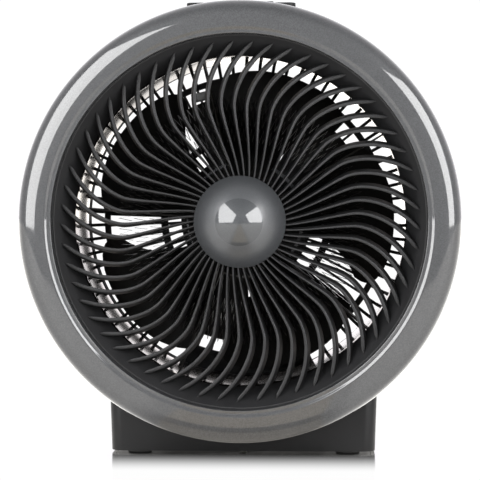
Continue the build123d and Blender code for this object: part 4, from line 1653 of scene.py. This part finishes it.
@dataclass
class RearGrille:
    """The slotted disc behind the motor, its boss and its screws.

    Attributes:
        front: depth of its front face.
        back: depth of its back face.
        rows: its rows of ribs.
        rings: inner and outer radius of each closed ring.
        arms: middle and half angle of each closed arm, in degrees.
        arm_reach: radius at which the arms end.
        seat: radius of the motor's seat.
        boss: radius of the boss behind the seat.
        boss_height: how far the boss stands out.
        sector: inner and outer radius of the closed bottom.
        screws: how many screws.
        screw_circle: radius on which they stand.
    """

    front: float = 136.3
    back: float = 139.3
    rows: tuple[RibRow, ...] = (
        RibRow(98.4, 108.4, 70, 2.2, 26.0),
        RibRow(59.1, 95.0, 60, 1.8),
        RibRow(45.1, 54.9, 48, 2.0),
    )
    rings: tuple[Span, ...] = ((108.0, 113.6), (94.6, 98.8), (54.5, 59.5))
    arms: tuple[Span, ...] = ((46.5, 13.4), (109.3, 13.2), (258.2, 13.2))
    arm_reach: float = 86.0
    seat: float = 45.5
    boss: float = 42.0
    boss_height: float = 3.0
    sector: Span = (98.2, 108.6)
    screws: int = 4
    screw_circle: float = 111.0

    def ribs(self, carrier: bpy.types.Object) -> bpy.types.Object:
        """Repeat the ribs of each row.

        Args:
            carrier: the rings and plates that the ribs join.

        Returns:
            The carrier with its ribs.
        """
        graph = GeometryGraph("grille ribs")
        thick = graph.named("Thickness", (self.back - self.front) * MM)
        front = graph.named("Front", HEAD.y(self.front))
        shapes = [graph.given]
        for number, row in enumerate(self.rows, 1):
            count = graph.named(f"Ribs in row {number}", row.count)
            inner = graph.named(f"Start of row {number}", row.inner * MM)
            outer = graph.named(f"End of row {number}", row.outer * MM)
            width = graph.named(f"Rib width in row {number}", row.width * MM)

            def rib(along: Field, across: Field, back: Field) -> tuple[Field, Field, Field]:
                """Place one point of a rib.

                Args:
                    along: share of the way outwards.
                    across: from -1 at one side to 1 at the other.
                    back: share of the way to the back.

                Returns:
                    Its x, y and z.
                """
                level = 0.5 - (back * math.pi).cosine() * 0.5
                roundness = 1.0 - (level * 2.0 - 1.0).size() ** 8.0 * 0.35
                side = across * width * roundness * 0.5
                return inner + (outer - inner) * along, front + thick * level, side

            def kept(angle: Field) -> Field:
                """Leave out the ribs over the closed bottom.

                Args:
                    angle: where a rib points, in radians.

                Returns:
                    Nought for the ribs that are left out.
                """
                away = (angle.remainder(math.tau) - 1.5 * math.pi).size()
                return away.over(math.radians(row.closed))

            shape = graph.bent_box((2, 3, 5), rib)
            shapes.append(graph.ring_of(shape, count, HEAD.centre, math.pi / row.count, kept))
        return graph.settle_on(carrier, shapes, Finishes.CASE_BLACK)

    def fasten(self) -> None:
        """Repeat the hexagon-headed screws."""
        piece = make_object("rear_screws")
        graph = GeometryGraph("rear screws")
        count = graph.named("Screws", self.screws)
        circle = graph.named("Screw circle", self.screw_circle * MM)
        head = graph.named("Head radius", 3.17 * MM)
        high = graph.named("Head height", 1.8 * MM)
        shank = graph.named("Shank radius", 1.55 * MM)
        reach = graph.named("Shank length", 5.5 * MM)
        solids = []
        for radius, length, behind, sides in ((head, high, 0.9, 6), (shank, reach, -2.6, 16)):
            cylinder = {"Vertices": sides, "Radius": radius, "Depth": length}
            placed = {
                "Geometry": graph.node("GeometryNodeMeshCylinder", cylinder).outputs["Mesh"],
                "Translation": graph.vector(circle, HEAD.y(self.back + behind), 0.0),
                "Rotation": (math.pi / 2, 0, 0),
            }
            solids.append(graph.node("GeometryNodeTransform", placed).outputs[0])
        ring = graph.ring_of(graph.joined(solids), count, HEAD.centre, math.pi / self.screws)
        graph.settle_on(piece, [ring], Finishes.BLACK_SCREW)
        dress(piece, Finishes.BLACK_SCREW, Body.HEAD, ["rear_grille_screws"])

    def build(self) -> None:
        """Turn the rings and the seat, add the arms and ribs, and dress them."""
        front, back = self.front, self.back
        parts = []
        for inner, outer in self.rings:
            corners = [(inner, front, 0.3), (outer, front, 0.3), (outer, back, 0.6), (inner, back, 0.6)]
            parts.append(lathe("grille_ring", rounded(corners), 224))
        top = back + self.boss_height
        seat = [(0, front, 0), (self.seat, front, 0.3), (self.seat, back, 0.5)]
        boss = [(self.boss, back, 0.4), (self.boss - 0.6, top, 0.8), (0, top, 0)]
        parts.append(lathe("motor_seat", rounded(seat + boss), 128))
        for angle, half in self.arms:
            span = (angle - half, angle + half)
            reach = (self.seat - 0.6, self.arm_reach)
            parts.append(sector_plate("arm", reach, span, (front - 0.2, back - 0.25)))
        closed = self.rows[0].closed
        span = (270 - closed + 1, 270 + closed - 1)
        parts.append(sector_plate("closed_sector", self.sector, span, (front + 0.15, back - 0.15)))
        grille = self.ribs(join_pieces("rear_slats", parts))
        dress(grille, Finishes.CASE_BLACK, Body.HEAD, ["rear_grille"])
        self.fasten()


@dataclass
class TopPanel:
    """The control panel on the drum, with its marks, knobs and lens.

    Attributes:
        front_depth: depth of its front edge.
        length: from front to back.
        front_height: height of its surface at the front.
        back_height: height at the back.
        knob_depth: depth at which the knobs stand.
        knob_spacing: distance between them.
        knob_radius: radius of their skirts.
        print_height: thickness of the print.
        mark_gap: from a knob to its marks.
        digit_gap: from a knob to the middle of its digits.
        digit_size: size of the digits.
    """

    front_depth: float = 37.0
    length: float = 88.0
    front_height: float = 295.0
    back_height: float = 288.0
    knob_depth: float = 92.0
    knob_spacing: float = 34.0
    knob_radius: float = 13.5
    print_height: float = 0.12
    mark_gap: float = 0.8
    digit_gap: float = 3.6
    digit_size: float = 3.4

    def frame_at(self, x: float, depth: float, lift: float = 0.0) -> Matrix:
        """Give the place and slope of a spot on the panel.

        Args:
            x: how far to the right.
            depth: how far back.
            lift: how far above the surface.

        Returns:
            A matrix from panel coordinates in metres to the row frame.
        """
        slope = math.atan((self.front_height - self.back_height) / self.length)
        share = (depth - self.front_depth) / self.length
        height = self.front_height + (self.back_height - self.front_height) * share
        place = Matrix.Translation(Vector((x, HEAD.front_y + depth, height)) * MM)
        return place @ Matrix.Rotation(-slope, 4, "X") @ Matrix.Translation((0, 0, lift * MM))

    def marks(self, name: str, x: float, count: int, sweep: float, size: Span) -> None:
        """Print marks round a knob, clockwise from where it points at rest.

        Args:
            name: the piece's name.
            x: where the knob stands.
            count: how many marks.
            sweep: the angle they cover, in degrees.
            size: length and width of a mark.
        """
        piece = make_object(name)
        graph = GeometryGraph(name)
        total = graph.named("Marks", count)
        reach = graph.named("Mark circle", (self.knob_radius + self.mark_gap) * MM)
        long = graph.named("Mark length", size[0] * MM)
        wide = graph.named("Mark width", size[1] * MM)
        high = graph.named("Print height", self.print_height * MM)

        def mark(along: Field, across: Field, back: Field) -> tuple[Field, Field, Field]:
            """Place one point of a mark.

            Args:
                along: share of the way outwards.
                across: from -1 at one side to 1 at the other.
                back: share of the way down.

            Returns:
                Its x, y and z.
            """
            return reach + long * along, across * wide * 0.5, high * (1.0 - back)

        shape = graph.bent_box((2, 2, 2), mark)
        angle = math.pi / 2 - graph.index() * (math.radians(sweep) / (count - 1))
        marks = graph.copies(shape, total, graph.vector(0.0, 0.0, angle))
        graph.settle_on(piece, [marks], Finishes.PRINT_WHITE)
        piece.data.transform(self.frame_at(x, self.knob_depth))
        dress(piece, Finishes.PRINT_WHITE, Body.HEAD)

    def digits(self, x: float, words: Sequence[str], sweep: float) -> None:
        """Print plain numbers round a knob.

        Args:
            x: where the knob stands.
            words: the numbers, clockwise.
            sweep: the angle they cover, in degrees.
        """
        parts = []
        for number, word in enumerate(words):
            angle = math.pi / 2 - math.radians(sweep) * number / (len(words) - 1)
            curve = bpy.data.curves.new("digit", "FONT")
            curve.body = word
            curve.size = self.digit_size * MM
            curve.extrude = self.print_height * MM / 2
            curve.align_x = "CENTER"
            curve.align_y = "CENTER"
            text = put_in_scene("digit", curve)
            bpy.context.view_layer.update()
            evaluated = text.evaluated_get(bpy.context.evaluated_depsgraph_get())
            mesh = bpy.data.meshes.new_from_object(evaluated)
            bpy.data.objects.remove(text)
            reach = (self.knob_radius + self.digit_gap) * MM
            spot = Matrix.Translation((reach * math.cos(angle), reach * math.sin(angle), 0))
            mesh.transform(self.frame_at(x, self.knob_depth, self.print_height / 2) @ spot)
            parts.append(put_in_scene("digit", mesh))
        dress(join_pieces("dial_numbers", parts), Finishes.PRINT_WHITE, Body.HEAD)

    def knob(self, nodes: dict[str, bpy.types.Object], label: str, x: float, body: Body) -> None:
        """Dress one knob and give it grip ribs and a pointer line.

        Args:
            nodes: the frame's nodes by name.
            label: the knob's name.
            x: where it stands.
            body: the body it turns with.
        """
        cap = refined_copy(nodes, f"{label}_knob", f"{label}_cap", 0.3)
        grip = GeometryGraph(f"{label} grip")
        count = grip.named("Grip ribs", 36)
        reach = grip.named("Skirt radius", (self.knob_radius - 0.25) * MM)
        high = grip.named("Rib height", 2.3 * MM)
        wide = grip.named("Rib width", 1.1 * MM)
        crown = grip.named("Rib crown", 0.4 * MM)
        sunk = grip.named("Depth in the skirt", 0.6 * MM)

        def rib(along: Field, across: Field, back: Field) -> tuple[Field, Field, Field]:
            """Place one point of a grip rib.

            Args:
                along: share of the way outwards.
                across: from -1 at one side to 1 at the other.
                back: share of the way down.

            Returns:
                Its x, y and z.
            """
            swell = (1.0 - across * across) * crown
            return reach - (1.0 - along) * sunk + swell * along, across * wide * 0.5, high * (1.0 - back)

        shape = grip.bent_box((2, 4, 2), rib)
        ribs = grip.copies(shape, count, grip.vector(0.0, 0.0, grip.index() * (math.tau / count)))
        ring = make_object("grip")
        grip.settle_on(ring, [ribs], Finishes.KNOB_BLACK)
        ring.data.transform(self.frame_at(x, self.knob_depth, 0.5))
        dress(join_pieces(f"{label}_dial", [cap, ring]), Finishes.KNOB_BLACK, body, [f"{label}_knob"])
        near, far = Vector((-0.5, 2.0, 0.0)) * MM, Vector((0.5, 11.4, 0.15)) * MM
        pointer = box_piece(f"{label}_pointer", near, far)
        pointer.data.transform(self.frame_at(x, self.knob_depth, 8.25))
        dress(pointer, Finishes.PRINT_WHITE, body)

    def build(self, nodes: dict[str, bpy.types.Object]) -> None:
        """Dress the panel, its marks, both knobs and the lens.

        Args:
            nodes: the frame's nodes by name.
        """
        panel = refined_copy(nodes, "control_panel", "panel_cover", 0.9, 3)
        dress(panel, Finishes.CASE_BLACK, Body.HEAD, ["control_panel"])
        half = self.knob_spacing / 2
        self.marks("function_marks", -half, 4, 135, (0.8, 0.8))
        self.marks("thermostat_marks", half, 19, 270, (1.2, 0.5))
        self.digits(-half, ("0", "1", "2", "3"), 135)
        self.knob(nodes, "function", -half, Body.FUNCTION)
        self.knob(nodes, "thermostat", half, Body.THERMOSTAT)
        lens = refined_copy(nodes, "pilot_lens", "lens_cap", 0.25)
        dress(lens, Finishes.AMBER, Body.HEAD, ["pilot_lens"])


@dataclass
class Drum:
    """The housing behind the ring.

    Attributes:
        bevel: width of its softened edges.
    """

    bevel: float = 0.5

    def build(self, nodes: dict[str, bpy.types.Object]) -> None:
        """Dress the housing and what it holds out of sight.

        Args:
            nodes: the frame's nodes by name.
        """
        shell = refined_copy(nodes, "drum_housing", "drum_shell", self.bevel)
        dress(shell, Finishes.CASE_BLACK, Body.HEAD, ["drum_housing"])
        repaint(nodes, ["front_end_bell", "rear_end_bell"], Finishes.MOTOR_BLACK)
        repaint(nodes, ["motor_shaft", "impeller_nut"], Finishes.BLACK_SCREW)
        repaint(nodes, ["stator", "rotor"], Finishes.LAMINATION)
        repaint(nodes, ["front_winding", "rear_winding"], Finishes.COPPER)
        repaint(nodes, ["rotary_switch", "thermostat"], Finishes.SWITCH_GREY)
        repaint(nodes, ["function_shaft", "thermostat_shaft"], Finishes.ZINC)


@dataclass
class CradleBase:
    """The low base that the drum lies in.

    Attributes:
        bevel: width of the shell's softened edges.
    """

    bevel: float = 1.2

    def build(self, nodes: dict[str, bpy.types.Object]) -> None:
        """Dress the base, its cover, its feet and its hinge.

        Args:
            nodes: the frame's nodes by name.
        """
        shell = refined_copy(nodes, "base_shell", "cradle_shell", self.bevel, 3)
        dress(shell, Finishes.CASE_BLACK, Body.BASE, ["base_shell"])
        cover = refined_copy(nodes, "base_cover", "bottom_cover", 0.4)
        dress(cover, Finishes.CASE_BLACK, Body.BASE, ["base_cover"])
        feet = refined_copy(nodes, "rubber_feet", "feet", 0.25)
        dress(feet, Finishes.RUBBER, Body.BASE, ["rubber_feet"])
        for side in ("left", "right"):
            pin = refined_copy(nodes, f"pivot_pin_{side}", f"hinge_pin_{side}", 0.5)
            dress(pin, Finishes.ZINC, Body.BASE, [f"pivot_pin_{side}"])
            repaint(nodes, [f"friction_washer_{side}"], Finishes.NYLON)
        grommet = refined_copy(nodes, "cord_grommet", "grommet", 0.4)
        dress(grommet, Finishes.RUBBER, Body.BASE, ["cord_grommet"])
        repaint(nodes, ["tip_switch"], Finishes.SWITCH_GREY)
        repaint(nodes, ["tip_plunger"], Finishes.NYLON)


# ------------------------------------------------------------------ the studio
@dataclass(frozen=True)
class Softbox:
    """One softbox.

    Attributes:
        place: where it stands, in metres.
        aim: what it points at.
        size: width and height.
        glow: the radiance that lights matt surfaces.
        mirror: the radiance that glossy surfaces reflect.
        corners: where its cloth's corners show from the dome, in degrees right and up.
    """

    place: tuple[float, float, float]
    aim: tuple[float, float, float]
    size: Span
    glow: float
    mirror: float
    corners: tuple[Span, ...]


@dataclass
class Studio:
    """The floor, the light and the camera, with its places in metres.

    Attributes:
        eye: where the camera stands.
        target: what it looks at.
        focal_pixels: its focal length, in pixels of the picture.
        picture: the picture's width in pixels.
        front_dark: the surroundings in front, as surfaces see them.
        back_light: the surroundings behind.
        horizon: where the one turns into the other, as the y of a direction.
        base_half_width: where the floor's reflection starts to fade, from the middle.
        base_middle: middle of the base from front to back.
        base_half_depth: half the base's depth.
        side_fade: how much sooner the reflection fades beside the base than before it.
        shine_reach: over what distance it fades.
        shine: how white the floor looks where the reflection is strongest and where it ends.
        polish: roughness of the reflection.
        softboxes: the lights.
        cloth_distance: how far their cloths hang from the head.
        table: colour of the table's painted glow that glossy surfaces see, in the middle.
        table_sides: its colour at the sides.
        table_cone: degrees from the axis within which it shows.
        table_reach: how far it goes before the head.
        table_curve: how much less that is towards the sides.
        shadow_edge: how far out the painted shadow of the head, a dark strip, turns into the bright sides.
        shadow_light: the painted light in that shadow strip and at the sides.
        near_rise: where the light close to the head starts.
        near_fall: where it ends.
        near_glow: how strong it gets.
        far_edge: where the light behind the head ends.
        far_glow: how strong it is.
        warm_edge: where the table's own colour sets in.
        warm_below: the light from the sides below which it does.
    """

    eye: tuple[float, float, float] = (0.0495, -1.3149, 0.179)
    target: tuple[float, float, float] = (0.0001, -0.0649, 0.1429)
    focal_pixels: float = 1969.0
    picture: float = 480.0
    front_dark: Colour = (0.47, 0.48, 0.5)
    back_light: Colour = (1.25, 1.23, 1.27)
    horizon: Span = (-0.8, 0.1)
    base_half_width: float = 0.0876
    base_middle: float = 0.034
    base_half_depth: float = 0.049
    side_fade: float = 12.0
    shine_reach: float = 0.085
    shine: Span = (1.0, 0.06)
    polish: float = 0.12
    softboxes: tuple[Softbox, ...] = (
        Softbox(
            (-0.78, -1.42, 0.72),
            (0.0, 0.0, 0.15),
            (1.1, 1.25),
            3.0,
            13.0,
            ((-46.3, 40.4), (-7.8, 15.2), (-15.9, -1.6), (-48.0, -1.8), (-52.2, 23.4)),
        ),
        Softbox(
            (0.86, -1.40, 0.72),
            (0.0, 0.0, 0.15),
            (1.05, 1.25),
            3.0,
            14.0,
            ((46.5, 32.6), (58.7, 31.0), (51.2, -1.6), (22.0, -1.6), (13.4, 15.2)),
        ),
    )
    cloth_distance: float = 1.7
    table: Colour = (1.75, 1.5, 1.15)
    table_sides: Colour = (1.5, 1.47, 1.42)
    table_cone: float = 50.8
    table_reach: float = 1.47
    table_curve: float = 2.7
    shadow_edge: Span = (0.045, 0.1)
    shadow_light: Span = (0.2, 1.5)
    near_rise: Span = (-0.03, 0.0)
    near_fall: Span = (0.03, 0.06)
    near_glow: float = 0.8
    far_edge: Span = (-0.6, -0.25)
    far_glow: float = 0.7
    warm_edge: Span = (-0.1, 0.1)
    warm_below: float = 0.5

    def seen_floor(self, shading: Shading, x: Field, y: Field) -> bpy.types.NodeSocket:
        """Build the floor as the camera sees it: white, with a reflection that fades beyond the base.

        Args:
            shading: the floor's material.
            x: place across, in metres.
            y: place from front to back.

        Returns:
            The shader.
        """
        beside = ((x.size() - self.base_half_width) * self.side_fade).most(0.0)
        beyond = ((y - self.base_middle).size() - self.base_half_depth).most(0.0)
        fade = shading.mapped(beside + beyond, (0.0, self.shine_reach), self.shine)
        white = shading.node("ShaderNodeEmission", {"Strength": BACKDROP}).outputs[0]
        glossy = shading.node("ShaderNodeBsdfGlossy", {"Roughness": self.polish}).outputs[0]
        return shading.choice(fade, white, glossy)

    def painted_floor_glow(self, shading: Shading, x: Field, y: Field) -> bpy.types.NodeSocket:
        """Build the floor as glossy surfaces see it: painted light, a warm table before the head, and a
        painted shadow of the head round it.

        Args:
            shading: the floor's material.
            x: place across, in metres.
            y: place from front to back.

        Returns:
            The shader.
        """
        ahead = HEAD.y(0.0) - y
        across = x**2.0
        slant = (across + (HEAD.axis_height * MM) ** 2).square_root()
        on_table = slant.under(ahead * math.tan(math.radians(self.table_cone)))
        on_table = on_table * ahead.under(self.table_reach - across * self.table_curve)
        # painted shadow of the head: a dark strip under the middle, painted light at the sides
        shade_across = shading.mapped(x.size(), self.shadow_edge, self.shadow_light)
        # painted light on the floor close to the head and behind it
        rising = shading.mapped(ahead, self.near_rise, (0.0, self.near_glow))
        near = rising * shading.mapped(ahead, self.near_fall, (1.0, 0.0))
        far = shading.mapped(ahead, self.far_edge, (self.far_glow, 0.0))
        strength = on_table.most(shade_across).most(near.most(far))
        warm = shading.mapped(ahead, self.warm_edge, (0.0, 1.0)) * shade_across.under(self.warm_below)
        colour = shading.blend(warm, self.table_sides, self.table)
        return shading.node("ShaderNodeEmission", {"Color": colour, "Strength": strength}).outputs[0]

    def floor(self) -> None:
        """Lay the pale floor, which camera, glossy surfaces and other light each see in their own way; glossy
        surfaces see painted light with a painted shadow of the head.
        """
        plane = box_piece("floor", (-6, -2.2, -0.02), (6, 9, 0.0))
        shading = Shading("floor_white")
        shading.tint(shading.noise(3, 2), (0.84, 0.84, 0.84), (0.88, 0.88, 0.88))
        shading.set(Roughness=0.6)
        x, y, _ = shading.parts(shading.place)
        rays = shading.node("ShaderNodeLightPath").outputs
        painted_glow = self.painted_floor_glow(shading, x, y)
        lit = shading.choice(rays["Is Glossy Ray"], shading.shader.outputs[0], painted_glow)
        shading.show(shading.choice(rays["Is Camera Ray"], lit, self.seen_floor(shading, x, y)))
        plane.data.materials.append(shading.material)
        plane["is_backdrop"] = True

    def world(self) -> None:
        """Light the surroundings: white behind, dark in front, white where the camera looks."""
        world = bpy.data.worlds.new("studio")
        bpy.context.scene.world = world
        world.use_nodes = True
        graph = NodeGraph(world.node_tree)
        graph.tree.nodes.clear()
        _, behind, _ = graph.parts(graph.node("ShaderNodeTexCoord").outputs["Generated"])
        colour = graph.blend(graph.mapped(behind, self.horizon, (0.0, 1.0)), self.front_dark, self.back_light)
        around = graph.node("ShaderNodeBackground", {"Color": colour}).outputs[0]
        white = {"Color": (1.0, 1.0, 1.0, 1.0), "Strength": BACKDROP}
        seen = graph.node("ShaderNodeBackground", white).outputs[0]
        camera_ray = graph.node("ShaderNodeLightPath").outputs["Is Camera Ray"]
        graph.node("ShaderNodeOutputWorld", {"Surface": graph.choice(camera_ray, around, seen)})

    def lights(self) -> None:
        """Set up the softboxes."""
        for number, softbox in enumerate(self.softboxes, 1):
            way = Vector(softbox.aim) - Vector(softbox.place)
            stand = Matrix.Translation(softbox.place) @ way.to_track_quat("-Z", "Y").to_matrix().to_4x4()
            data = bpy.data.lights.new(f"softbox_{number}", "AREA")
            data.shape = "RECTANGLE"
            data.size, data.size_y = softbox.size
            data.energy = softbox.glow * math.pi * softbox.size[0] * softbox.size[1]
            lamp = put_in_scene(f"softbox_{number}", data)
            lamp.matrix_world = stand
            lamp.visible_glossy = False
            self.cloth(number, softbox)

    def cloth(self, number: int, softbox: Softbox) -> None:
        """Hang the softbox's bright cloth, which only glossy surfaces see.

        Args:
            number: which softbox.
            softbox: its corners and radiance.
        """
        points = []
        for right, up in softbox.corners:
            turn = Matrix.Rotation(math.radians(right), 3, "Z") @ Matrix.Rotation(-math.radians(up), 3, "X")
            points.append(HEAD.point(0, 0, 0) + turn @ Vector((0, -self.cloth_distance, 0)))
        sheet = make_object(f"softbox_cloth_{number}", points, [range(len(points))])
        shading = Shading(f"softbox_cloth_{number}")
        shading.show(shading.node("ShaderNodeEmission", {"Strength": softbox.mirror}).outputs[0])
        sheet.data.materials.append(shading.material)
        sheet.visible_camera = False
        sheet.visible_diffuse = False
        sheet.visible_transmission = False
        sheet.visible_shadow = False
        sheet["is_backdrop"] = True

    def camera(self) -> None:
        """Set up the camera at the picture's viewing angle."""
        data = bpy.data.cameras.new("camera")
        data.sensor_width = 36.0
        data.lens = data.sensor_width * self.focal_pixels / self.picture
        data.clip_start = 0.05
        camera = put_in_scene("camera", data)
        camera.location = self.eye
        way = Vector(self.target) - Vector(self.eye)
        camera.rotation_euler = way.to_track_quat("-Z", "Y").to_euler()
        bpy.context.scene.camera = camera

    def build(self) -> None:
        """Build the whole studio."""
        bpy.context.scene.view_settings.view_transform = "Standard"
        self.floor()
        self.world()
        self.lights()
        self.camera()


def as_lists(bounds: object) -> object:
    """Turn corners into plain lists of numbers.

    Args:
        bounds: the corners, or a dictionary of them.

    Returns:
        The same in a form that a file can hold.
    """
    if isinstance(bounds, dict):
        return {key: as_lists(value) for key, value in bounds.items()}
    if isinstance(bounds, (int, float, str)) or bounds is None:
        return bounds
    return [as_lists(value) for value in bounds]


def main() -> None:
    """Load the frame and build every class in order."""
    logging.basicConfig(level=logging.INFO, format="%(message)s")
    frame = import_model()
    cad_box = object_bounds()
    nodes = frame["nodes"]
    Studio().build()
    FrontRing().build()
    FrontGrille().build()
    CentreDome().build()
    HeatShield().build()
    Heater().build(nodes)
    Impeller().build()
    RearGrille().build()
    Drum().build(nodes)
    TopPanel().build(nodes)
    CradleBase().build(nodes)
    {"cad": as_lists(cad_box), "visual": as_lists(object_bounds())}


if __name__ == "__main__":
    main()
